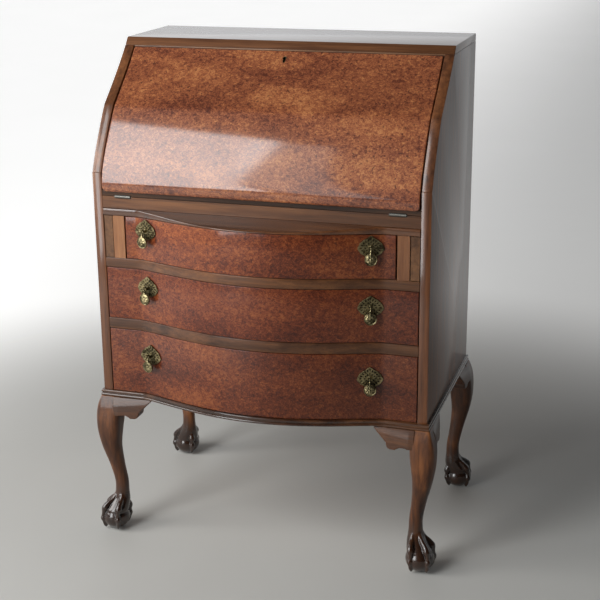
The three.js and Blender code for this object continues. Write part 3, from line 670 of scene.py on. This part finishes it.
def talon_path(angle):
    """One claw of the front left foot: down from the ankle, over two knuckles, to its tip."""
    way = math.radians(angle - 135)
    # Shift back toward the ankle, reach from the middle of the foot, height, and thickness.
    rows = [(-16, 9, 84, 5.0), (-12, 15, 70, 5.4), (-6, 23.5, 60, 5.8), (-2, 27.6, 51, 7.4),
            (0, 28.8, 42, 4.8), (0, 29.8, 35, 4.6), (0, 30.4, 27, 6.4), (0, 29.4, 19, 4.0),
            (0, 27.8, 12, 3.8), (0, 24.6, 4.5, 2.4)]
    if angle == 180:
        rows = [(-17, 7, 84, 5.0), (-14, 12, 69, 5.4), (-9, 19.5, 56, 6.0), (-4, 27, 45, 7.8),
                (-1, 30.4, 36, 4.8), (0, 31.2, 27, 6.8), (0, 30.2, 18, 4.2), (0, 28.0, 11, 3.6),
                (0, 24.2, 4.5, 2.2)]
    path = smooth_run(rows, 34)
    corner_way = math.radians(-135)
    return [((out * math.cos(corner_way) + reach * math.cos(way),
              out * math.sin(corner_way) + reach * math.sin(way), height), radius)
            for out, reach, height, radius in path]


def add_shape(work, points, faces):
    """Adds a closed shape to the mesh at work."""
    verts = [work.verts.new(p) for p in points]
    for face in faces:
        work.faces.new([verts[i] for i in face])


corners = {"front_left": (1, 1), "front_right": (-1, 1), "back_left": (1, -1), "back_right": (-1, -1)}
feet = {mount["name"]: mount["pos_m"] for mount in frame["record"]["mounts"]}
for corner_name, (mirror_x, mirror_y) in corners.items():
    work = bmesh.new()
    add_shape(work, *skin([leg_section(*row) for row in smooth_run(leg_rings, 64)]))
    for angle in talons:
        add_shape(work, *tube(talon_path(angle)))
    ball = bmesh.ops.create_icosphere(work, subdivisions=4, radius=1.0)
    bmesh.ops.scale(work, vec=(ball_radius, ball_radius, ball_half_height), verts=ball["verts"])
    bmesh.ops.translate(work, vec=(0, 0, ball_half_height - 0.2), verts=ball["verts"])
    bmesh.ops.scale(work, vec=(MM * mirror_x, MM * mirror_y, MM), verts=work.verts)
    bmesh.ops.translate(work, vec=Vector(feet[f"foot_{corner_name}"]), verts=work.verts)
    bmesh.ops.recalc_face_normals(work, faces=work.faces)
    mesh = bpy.data.meshes.new(f"cabriole_{corner_name}")
    work.to_mesh(mesh)
    work.free()
    leg = new_object(f"cabriole_{corner_name}", mesh)
    carve(leg, 1.35 * MM, 2)
    points = rows_of(leg.data)
    points[:, 2] = np.clip(points[:, 2], 0, leg_height * MM)
    leg.data.vertices.foreach_set("co", points.ravel())
    mark_wear(leg.data)
    leg.data.materials.clear()
    leg.data.materials.append(leg_walnut)
    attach(leg, "case")
    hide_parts(f"leg_{corner_name}")


# ---------------------------------------------------------------- ears
# Walnut brackets glued beside each knee, fretted to a double curve. Their faces are carved to
# run on from the swelling of the knee, and thin out toward the tip.
def ear_outline():
    """Reach from the foot's axis and drop from the base."""
    upper = bezier([100, -3], [92, -14], [84, -18], [76, -28], 14)
    lobe = bezier([72, -31], [75, -46], [56, -50], [47, -41], 16)
    root = bezier([47, -41], [42, -38.5], [37, -38], [29, -40], 8)
    curve = [tuple(p) for p in np.vstack([upper, lobe, root[1:]])]
    return [(13, -0.3), (100, -0.3)] + curve + [(13, -40)]


ear_top = 0.316                             # underside of the case


def swell(ear, low, high, foot, sideways):
    """Carves the outer face to the swelling of the knee, less so toward the tip."""
    points = rows_of(ear.data)
    out, along = (0, 1) if sideways else (1, 0)
    inner, outer_face = (low[out], high[out]) if foot[out] > 0 else (high[out], low[out])
    share = (points[:, out] - inner) / (outer_face - inner)
    drop = (ear_top - points[:, 2]) / MM
    reach = np.abs(points[:, along] - foot[along]) / MM
    bulge = 2 + 12.4 * (1 - np.exp(-np.clip(drop, 0, 60) / 15))
    bulge *= 1 - 0.5 * np.clip((reach - 25) / 75, 0, 1)
    outward = 1 if foot[out] > 0 else -1
    points[:, out] += outward * bulge * np.clip(share, 0, 1) * MM
    ear.data.vertices.foreach_set("co", points.ravel())
    ear.data.update()


ear_walnut = straight_walnut("ear_walnut", (10, 10, 1), (0.020, 0.008, 0.004), (0.068, 0.026, 0.011),
                             (0.17, 0.064, 0.022), gloss=0.30, coat=0.6, shift=(4, 4, 4))
for node in [n for n in frame["nodes"] if n.startswith("ear_")]:
    low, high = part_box(node)
    end = "front" if "front" in node else "back"
    side = "left" if "left" in node else "right"
    foot = Vector(feet[f"foot_{end}_{side}"])
    if "side" in node:
        inward = 1 if end == "front" else -1
        rings = [[(x, foot.y + inward * u * MM, ear_top + v * MM) for u, v in ear_outline()]
                 for x in (low.x, high.x)]
    else:
        inward = 1 if side == "left" else -1
        rings = [[(foot.x + inward * u * MM, y, ear_top + v * MM) for u, v in ear_outline()]
                 for y in (low.y, high.y)]
    ear = piece_of(node.replace("ear_", "bracket_"), *skin(rings), ear_walnut)
    carve(ear, 1.5 * MM, 2)
    swell(ear, low, high, foot, "side" in node)
    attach(ear, "case")
    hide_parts(node)


# ---------------------------------------------------------------- inside and plain woods
# Lopers, guides, runners, bed, pigeonholes, drawer boxes and back: plain boards, kept as the
# frame has them and finished as their woods are, polished, waxed or bare.
plain = {
    "pale": straight_walnut("guide_walnut", (1, 1, 18), (0.12, 0.048, 0.018), (0.22, 0.080, 0.026),
                            (0.38, 0.165, 0.060), shift=(7, 7, 1)),
    # The right guide: a darker copy of the left guide's walnut, as painted shade; the left is the lit copy.
    "pale_in_painted_shade": straight_walnut("guide_walnut_in_painted_shade", (1, 1, 18), (0.07, 0.026, 0.010), (0.145, 0.053, 0.019),
                             (0.26, 0.105, 0.038), shift=(1, 4, 8)),
    "loper": straight_walnut("loper_walnut", (1, 18, 1), (0.040, 0.017, 0.008), (0.125, 0.055, 0.023),
                             (0.24, 0.110, 0.044), coat=0.4, shift=(2, 7, 6)),
    "across": straight_walnut("inner_walnut", (20, 1, 1), (0.06, 0.026, 0.013), (0.17, 0.078, 0.035),
                              (0.32, 0.155, 0.065), gloss=0.34, coat=0.4, shift=(9, 3, 3)),
    # The lining is darkened to paint the shade under the fall's lip.
    "lining": straight_walnut("lining_walnut_in_painted_shade", (20, 1, 1), (0.014, 0.007, 0.004), (0.040, 0.018, 0.009),
                              (0.095, 0.042, 0.019), gloss=0.5, coat=0.0, shift=(5, 3, 2)),
    "drawer": straight_walnut("drawer_timber", (1, 18, 1), (0.14, 0.065, 0.032), (0.28, 0.15, 0.075),
                              (0.42, 0.25, 0.13), gloss=0.5, coat=0.0, shift=(3, 3, 8)),
    "ply": straight_walnut("back_ply", (1, 1, 18), (0.20, 0.100, 0.045), (0.37, 0.205, 0.095),
                           (0.49, 0.30, 0.155), gloss=0.6, coat=0.0, shift=(6, 1, 8)),
}
# The first of these words in a piece's name says its wood.
finish_of = {"loper_guide_left": "pale", "loper_guide_right": "pale_in_painted_shade", "loper": "loper",
             "runner": "drawer", "drawer_box": "drawer", "back_panel": "ply", "bottom_board": "ply",
             "writing_bed": "across", "pigeonhole": "across", "fall_lining": "lining",
             "head_rail": "across"}
for node in frame["nodes"]:
    for part, wood in finish_of.items():
        if part in node:
            refinish(node, plain[wood])
            break


# ---------------------------------------------------------------- leather, brass and steel
# A dark skiver let into the lining as the writing surface. The lock case and the strike plate
# are brass; the bolt and the hinge leaves are steel.
def skiver(place):
    pebble = place.node("ShaderNodeTexVoronoi", {"feature": "SMOOTH_F1"}, {
        "Vector": place, "Scale": 900.0, "Smoothness": 0.6})
    cloud = place.noise(0.05, 4)
    colour = place.mix(cloud, (0.050, 0.020, 0.012, 1), (0.115, 0.045, 0.026, 1))
    return {"Base Color": colour, "Roughness": 0.42 + 0.2 * cloud,
            "Normal": pebble.bump(0.0004, 0.4)}


def aged_brass(place):
    patina = place.noise(0.006, 5, 0.65, 0.6)
    smear = place.noise(0.02, 3, 0.5, 0.2, (1, 1, 1), (4, 4, 4))
    tarnish = (0.6 * patina + 0.4 * smear).between(0.40, 0.60)
    return {"Base Color": place.mix(tarnish, (0.34, 0.28, 0.150, 1), (0.050, 0.042, 0.022, 1)),
            "Roughness": 0.30 + 0.25 * tarnish,
            "Normal": patina.bump(0.0003, 0.5)}


def bare_steel(place):
    rub = place.noise(0.0008, 3, 0.6, 0.0, (20, 1, 1))
    return {"Base Color": place.mix(rub, (0.10, 0.095, 0.085, 1), (0.22, 0.21, 0.19, 1)),
            "Roughness": 0.34 + 0.25 * rub}


leather = surface("skiver", skiver, {"Specular IOR Level": 0.4})
brass = surface("aged_brass", aged_brass, {"Metallic": 1.0})
steel = surface("bright_steel", bare_steel, {"Metallic": 1.0})
refinish("writing_leather", leather)
refinish("lock_case", brass)
refinish("strike_plate", brass)
refinish("lock_bolt", steel)
for node in frame["nodes"]:
    if node.startswith("hinge_") and "leaf" in node:
        refinish(node, steel)


# ---------------------------------------------------------------- pierced pull plates
# Cast brass back plates: a scalloped outline, two rows of openings pierced between raised
# ribs, a boss, and two lugs that carry the pin. Each is pinned to its drawer front.
def spun(profile, steps=40, relief=None):
    """Rings of a turned shape about the local z axis, from (radius, height) pairs."""
    rings = []
    for radius, height in profile:
        ring = []
        for k in range(steps):
            turn = 2 * math.pi * k / steps
            lift = relief(radius, turn) if relief else 0
            ring.append((radius * math.cos(turn), radius * math.sin(turn), height + lift))
        rings.append(ring)
    return skin(rings)


def fitting(name, parts, place, material, grown=None):
    """One object from closed shapes in local millimetres, and a grown mesh if any, set at place."""
    work = bmesh.new()
    if grown:
        work.from_mesh(grown)
    for points, faces in parts:
        add_shape(work, points, faces)
    bmesh.ops.recalc_face_normals(work, faces=work.faces)
    mesh = bpy.data.meshes.new(name)
    work.to_mesh(mesh)
    work.free()
    mesh.transform(place @ Matrix.Scale(MM, 4))
    mesh.materials.clear()
    mesh.materials.append(material)
    shade(mesh, 40)
    return new_object(name, mesh)


def axes_at(place, across, up, out):
    """The matrix that sets a fitting at place, its own axes pointing across, up and out."""
    return Matrix([(*row, at) for *row, at in zip(across, up, out, place)] + [(0, 0, 0, 1)])


def new_tree(name, inputs):
    """A geometry tree with these inputs; gives its wires and the wire of each input."""
    tree = bpy.data.node_groups.new(name, "GeometryNodeTree")
    tree.interface.new_socket("Geometry", in_out="INPUT", socket_type="NodeSocketGeometry")
    for label, kind in inputs.items():
        tree.interface.new_socket(label, in_out="INPUT", socket_type=f"NodeSocket{kind}")
    tree.interface.new_socket("Geometry", in_out="OUTPUT", socket_type="NodeSocketGeometry")
    wires = Wire(tree)
    inlet = wires.node("NodeGroupInput").socket.node
    return tree, wires, {socket.name: Wire(tree, socket) for socket in inlet.outputs if socket.name}


def join(wires, parts):
    """Several geometries as one."""
    joined = wires.node("GeometryNodeJoinGeometry")
    for part in parts:
        wires.tree.links.new(part.socket, joined.socket.node.inputs[0])
    return joined


def end_tree(wires, geometry, material):
    """The tree's end: everything made real, in one material."""
    real = wires.node("GeometryNodeRealizeInstances", feeds={"Geometry": geometry})
    finished = wires.node("GeometryNodeSetMaterial", feeds={"Geometry": real, "Material": material})
    wires.node("NodeGroupOutput", feeds={"Geometry": finished})


def grow(name, points, edges, tree, values):
    """The mesh this tree makes from a mesh of points and edges."""
    seed_mesh = bpy.data.meshes.new(name)
    seed_mesh.from_pydata(points, edges, [])
    host = new_object(name, seed_mesh)
    growth = host.modifiers.new("growth", "NODES")
    growth.node_group = tree
    for item in tree.interface.items_tree:
        if item.in_out == "INPUT" and item.name in values:
            growth[item.identifier] = values[item.name]
    depsgraph = bpy.context.evaluated_depsgraph_get()
    mesh = bpy.data.meshes.new_from_object(host.evaluated_get(depsgraph))
    host.modifiers.clear()
    bpy.data.objects.remove(host)
    bpy.data.meshes.remove(seed_mesh)
    return mesh


plate_tree, wires, given = new_tree("pierced_plate", {
    "Outer Openings": "Int", "Inner Openings": "Int", "Opening": "Float", "Thickness": "Float",
    "Rib": "Float", "Seed": "Int", "Metal": "Material"})
outline = wires.node("GeometryNodeMeshToCurve", feeds={"Mesh": given["Geometry"]})
on_outline = wires.node("GeometryNodeInputPosition")
heading = wires.sum("ARCTAN2", on_outline.along("Y"), on_outline.along("X"))
turned = wires.node("ShaderNodeCombineXYZ", feeds={"Z": heading})


def opening_row(shrink, count, long, wide):
    """Openings pointing out from the middle, along the outline drawn in by shrink."""
    row = wires.node("GeometryNodeTransform", feeds={"Geometry": outline, "Scale": (shrink, shrink, 1)})
    marks = wires.node("GeometryNodeCurveToPoints", {"mode": "COUNT"}, {"Curve": row, "Count": count})
    ring = wires.node("GeometryNodeCurvePrimitiveCircle", feeds={
        "Resolution": 10, "Radius": given["Opening"]})
    drop = wires.node("GeometryNodeTransform", feeds={"Geometry": ring, "Scale": (long, wide, 1)})
    vary = wires.node("FunctionNodeRandomValue", feeds={2: 0.90, 3: 1.08, "Seed": given["Seed"]}, out=1)
    set_out = wires.node("GeometryNodeInstanceOnPoints", feeds={
        "Points": marks, "Instance": drop, "Rotation": turned, "Scale": vary})
    return wires.node("GeometryNodeRealizeInstances", feeds={"Geometry": set_out})


pattern = join(wires, [outline, opening_row(0.77, given["Outer Openings"], 1.50, 0.80),
                       opening_row(0.43, given["Inner Openings"], 1.15, 0.80)])
flat = wires.node("GeometryNodeFillCurve", feeds={"Curve": pattern})
raised = wires.node("GeometryNodeExtrudeMesh", feeds={
    "Mesh": flat, "Offset Scale": given["Thickness"], "Individual": False})
back = wires.node("GeometryNodeFlipFaces", feeds={"Mesh": flat})
slab = wires.node("GeometryNodeMergeByDistance", feeds={
    "Geometry": join(wires, [raised, back]), "Distance": 0.001})
to_face = wires.node("ShaderNodeCombineXYZ", feeds={"Z": given["Thickness"]})
lifted = wires.node("GeometryNodeTransform", feeds={"Geometry": pattern, "Translation": to_face})
wire_round = wires.node("GeometryNodeCurvePrimitiveCircle", feeds={"Resolution": 6, "Radius": given["Rib"]})
ribs = wires.node("GeometryNodeCurveToMesh", feeds={"Curve": lifted, "Profile Curve": wire_round})
end_tree(wires, join(wires, [slab, ribs]), given["Metal"])

# The plate's reach from its middle, by the angle from its top, before the scallops are cut.
reach_at = [(0, 24), (9, 21.4), (20, 19.6), (32, 19.4), (46, 19.8), (60, 21.2), (74, 23.0), (88, 25.2),
            (98, 26.0), (108, 25.0), (120, 23.4), (134, 21.8), (146, 21.0), (158, 20.0), (170, 18.8),
            (180, 18.2)]
scallop, scallops_round = 0.9, 13
edge_points = 144
edge = []
for k in range(edge_points):
    turn = 2 * math.pi * k / edge_points
    from_top = min(turn, 2 * math.pi - turn)
    reach = float(np.interp(math.degrees(from_top), *zip(*reach_at)))
    reach -= scallop * (1 - abs(math.sin(from_top * scallops_round / 2)))
    edge.append((reach * math.sin(turn), reach * math.cos(turn), 0))
edge_links = [(k, (k + 1) % edge_points) for k in range(edge_points)]
plate_mesh = grow("plate_outline", edge, edge_links, plate_tree, {
    "Outer Openings": 19, "Inner Openings": 11, "Opening": 2.15, "Thickness": 1.5, "Rib": 0.55,
    "Seed": 5, "Metal": brass})
boss = spun([(0.2, 0.3), (5.2, 0.3), (5.2, 2.0), (4.8, 2.7), (4.2, 2.6), (3.6, 3.6), (2.0, 4.2),
             (0.2, 4.3)], 28)
lug = 2.6
lug_round = [math.radians(a) for a in range(200, -21, -20)]
lug_outline = [(-lug, 0.8), (-lug, 8.0)]
lug_outline += [(lug * math.cos(a), 11.8 + lug * math.sin(a)) for a in lug_round]
lug_outline += [(lug, 8.0), (lug, 0.8)]
lugs = [skin([[(way * x, y, z) for y, z in lug_outline] for x in (2.3, 2.7, 3.8, 4.2)]) for way in (-1, 1)]
pin_out = 12
pin_round = [k * math.pi / 8 for k in range(16)]
pin_rod = skin([[(x, r * math.cos(a), pin_out + r * math.sin(a)) for a in pin_round]
                for x, r in [(-5.0, 0.7), (-4.8, 1.05), (4.8, 1.05), (5.0, 0.7)]])
pull_half_width = 25
fall_away = serpentine(pull_across / MM - pull_half_width) - serpentine(pull_across / MM + pull_half_width)
pull_angle = math.atan2(fall_away, 2 * pull_half_width)
plates = {}
for drawer, height in pull_heights.items():
    for side, way in {"left": -1, "right": 1}.items():
        out = (way * math.sin(pull_angle), -math.cos(pull_angle), 0)
        place = axes_at((way * pull_across, pull_face, height), (-out[1], out[0], 0), (0, 0, 1), out)
        plates[drawer, side] = place
        plate = fitting(f"{drawer}_pierced_plate_{side}", [boss, pin_rod] + lugs, place, brass, plate_mesh)
        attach(plate, f"{drawer}_drawer")
        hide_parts(f"{drawer}_pull_plate_{side}")


# ---------------------------------------------------------------- drops
# Solid cast drops: a looped wire eye round the pin, a short beaded neck, and a round button
# with a raised rim and a daisy in low relief. They swing free.
def daisy(radius, turn):
    """Eight petals between the middle and the rim."""
    if not 2.4 < radius < 10.4:
        return 0
    return 0.75 * (abs(math.cos(4 * turn)) - 0.55) * math.sin(math.pi * (radius - 2.4) / 8)


button = spun([(0.2, -3.3), (6, -3.5), (10, -2.8), (12.2, -1.2), (12.9, 0.4), (12.7, 1.8), (11.9, 2.7),
               (11.1, 2.6), (10.5, 2.1), (9.6, 2.5), (8.4, 3.1), (7.0, 3.6), (5.4, 4.0), (4.0, 4.1),
               (2.9, 3.8), (2.3, 4.2), (1.2, 4.7), (0.2, 4.8)], 64, daisy)
button = ([(x, y - 22, z + pin_out) for x, y, z in button[0]], button[1])
neck = spun([(1.2, -3.0), (1.5, -4.2), (2.5, -5.0), (2.7, -5.8), (2.3, -6.6), (1.7, -7.4), (2.0, -8.6),
             (3.0, -10.0), (3.4, -11.5)], 20)
neck = ([(x, z, y + pin_out) for x, y, z in neck[0]], neck[1])
wire_section = [(math.sin(k * math.pi / 5), 2.35 + 0.85 * math.cos(k * math.pi / 5)) for k in range(10)]
eye_turns = [-math.pi / 2 + 2 * math.pi * 0.985 * k / 24 for k in range(25)]
eye = skin([[(x, reach * math.sin(turn), pin_out + reach * math.cos(turn)) for x, reach in wire_section]
            for turn in eye_turns])
for (drawer, side), place in plates.items():
    drop = fitting(f"{drawer}_daisy_drop_{side}", [button, neck, eye], place, brass)
    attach(drop, f"{drawer}_drop_{side}")
    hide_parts(f"{drawer}_pull_drop_{side}")


# ---------------------------------------------------------------- keyhole
# A thread escutcheon: a thin brass rim let into the veneer round the keyhole, which is cut
# into the fall as far as the lock; the cut's walls are painted near black as shade.
def keyhole_shade_paint(place):
    """Painted shade: the inside of the cut, near black."""
    shade_speckle = place.noise(0.004, 3)
    return {"Base Color": place.mix(shade_speckle, (0.004, 0.003, 0.003, 1), (0.016, 0.012, 0.009, 1)),
            "Roughness": 0.6 + 0.3 * shade_speckle}


keyhole_painted_shade = surface("keyhole_painted_shade", keyhole_shade_paint, {"Specular IOR Level": 0.2})
low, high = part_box("keyhole_plate")
middle = (low + high) / 2
back_up = ((middle.y - post_face) / MM, (middle.z - writing) / MM)
near = int(np.argmin(np.linalg.norm(outer - back_up, axis=1)))
rise_y, rise_z = tangent[near]
on_face = (middle.x, post_face + outer[near, 0] * MM, writing + outer[near, 1] * MM)
key_place = axes_at(on_face, (1, 0, 0), (0, rise_y, rise_z), (0, -rise_z, rise_y))


def keyhole(grow_by):
    """The keyhole's outline, a round over a short slot, let out by grow_by."""
    bow, slot = 3.1 + grow_by, 1.6 + grow_by
    meet = math.asin(slot / bow)
    turns_round = np.linspace(-math.pi / 2 + meet, 1.5 * math.pi - meet, 21)
    return [(bow * math.cos(a), 3.6 + bow * math.sin(a)) for a in turns_round] + [
        (-slot, -5.4 - grow_by), (-0.6 * slot, -6.2 - grow_by), (0.6 * slot, -6.2 - grow_by),
        (slot, -5.4 - grow_by)]


key_hole = skin([[(x, y, z) for x, y in keyhole(0)] for z in (-5.5, 4)])
cutter = fitting("key_cutter", [key_hole], key_place, keyhole_painted_shade)
cut = shell.modifiers.new("keyhole", "BOOLEAN")
cut.object = cutter
cut.solver = "EXACT"
cut.material_mode = "TRANSFER"
settle(shell, 38)
bpy.data.objects.remove(cutter)
rim_steps = [(keyhole(0.0), -1.2), (keyhole(0.0), 0.15), (keyhole(0.3), 0.5), (keyhole(0.9), 0.55),
             (keyhole(1.2), 0.15), (keyhole(1.2), -1.2)]
count = len(rim_steps[0][0])
rim_points = [(x, y, z) for outline_at, z in rim_steps for x, y in outline_at]
rim_faces = []
for a in range(len(rim_steps)):
    here, after = a * count, (a + 1) % len(rim_steps) * count
    rim_faces += [(here + i, here + (i + 1) % count, after + (i + 1) % count, after + i)
                  for i in range(count)]
thread = fitting("keyhole_thread", [(rim_points, rim_faces)], key_place, brass)
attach(thread, "fall")
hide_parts("keyhole_plate")


# ---------------------------------------------------------------- hinge screws
# Small slotted countersunk steel heads, two to a leaf, set flush. Each has stopped at its own
# angle.
screw_tree, wires, given = new_tree("slotted_screws", {"Radius": "Float", "Seed": "Int", "Metal": "Material"})
head = wires.node("GeometryNodeMeshCylinder", feeds={"Vertices": 16, "Radius": given["Radius"], "Depth": 0.5})
slot_bar = wires.node("GeometryNodeMeshCube", feeds={"Size": (9, 0.55, 0.5)})
slot_high = wires.node("GeometryNodeTransform", feeds={"Geometry": slot_bar, "Translation": (0, 0, 0.2)})
slotted = wires.node("GeometryNodeMeshBoolean", feeds={"Mesh 1": head, "Mesh 2": slot_high})
stopped = wires.node("FunctionNodeRandomValue", feeds={2: 0.0, 3: 3.14, "Seed": given["Seed"]}, out=1)
screws_set = wires.node("GeometryNodeInstanceOnPoints", feeds={
    "Points": given["Geometry"], "Instance": slotted,
    "Rotation": wires.node("ShaderNodeCombineXYZ", feeds={"Z": stopped})})
end_tree(wires, screws_set, given["Metal"])

hinge_middle, screw_spread = 289, 9.5
screw_places = [(side * hinge_middle + step * screw_spread, 14, 0.05)
                for side in (-1, 1) for step in (-1, 1)]
leaf_plane = axes_at((0, post_face, writing), (1, 0, 0), (0, 1, 0), (0, 0, 1))
fall_axes = (-1, 0, 0), (0, *up_fall), (0, *-out_fall)
fall_plane = axes_at(pin, *fall_axes)
for name, plane, seed, body in [("rail_hinge_screws", leaf_plane, 3, "case"),
                                ("fall_hinge_screws", fall_plane, 8, "fall")]:
    grown = grow(name, screw_places, [], screw_tree, {"Radius": 2.6, "Seed": seed, "Metal": steel})
    screws = fitting(name, [], plane, steel, grown)
    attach(screws, body)


# ---------------------------------------------------------------- tooled border
# Gold leaf pressed into the skiver with a hot roll: a row of lozenges between two fine lines,
# rubbed thin in places.
def gold_leaf(place):
    worn = place.noise(0.006, 4, 0.7)
    return {"Base Color": place.mix(worn, (0.62, 0.42, 0.14, 1), (0.30, 0.18, 0.07, 1)),
            "Roughness": 0.34 + 0.3 * worn}


gilt = surface("gold_leaf", gold_leaf, {"Metallic": 0.45})
border_tree, wires, given = new_tree("tooled_border", {
    "Stamps": "Int", "Stamp Size": "Float", "Line": "Float", "Seed": "Int", "Gold": "Material"})
course = wires.node("GeometryNodeMeshToCurve", feeds={"Mesh": given["Geometry"]})
stations = wires.node("GeometryNodeCurveToPoints", {"mode": "COUNT"}, {
    "Curve": course, "Count": given["Stamps"]})
lozenge = wires.node("GeometryNodeMeshCylinder", feeds={
    "Vertices": 4, "Radius": given["Stamp Size"], "Depth": 0.16})
pressed = wires.node("FunctionNodeRandomValue", feeds={2: 0.85, 3: 1.10, "Seed": given["Seed"]}, out=1)
stamps = wires.node("GeometryNodeInstanceOnPoints", feeds={
    "Points": stations, "Instance": lozenge, "Scale": pressed})
fine = wires.node("GeometryNodeCurvePrimitiveCircle", feeds={"Resolution": 4, "Radius": given["Line"]})
tooling = [stamps]
for spread in ((1.016, 1.036, 1), (0.984, 0.964, 1)):
    beside = wires.node("GeometryNodeTransform", feeds={"Geometry": course, "Scale": spread})
    tooling.append(wires.node("GeometryNodeCurveToMesh", feeds={"Curve": beside, "Profile Curve": fine}))
end_tree(wires, join(wires, tooling), given["Gold"])

half_long, half_wide = 252, 112
middle_up, face_in = 164, -0.02             # the leather's middle up the fall, and its face
border_at = pin + Vector((0, *(up_fall * middle_up + out_fall * face_in))) * MM
corners_of_border = [(-half_long, -half_wide, 0), (half_long, -half_wide, 0),
                     (half_long, half_wide, 0), (-half_long, half_wide, 0)]
border_mesh = grow("border", corners_of_border, [(0, 1), (1, 2), (2, 3), (3, 0)], border_tree, {
    "Stamps": 190, "Stamp Size": 1.9, "Line": 0.42, "Seed": 2, "Gold": gilt})
border = fitting("tooled_border", [], axes_at(border_at, *fall_axes), gilt, border_mesh)
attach(border, "fall")
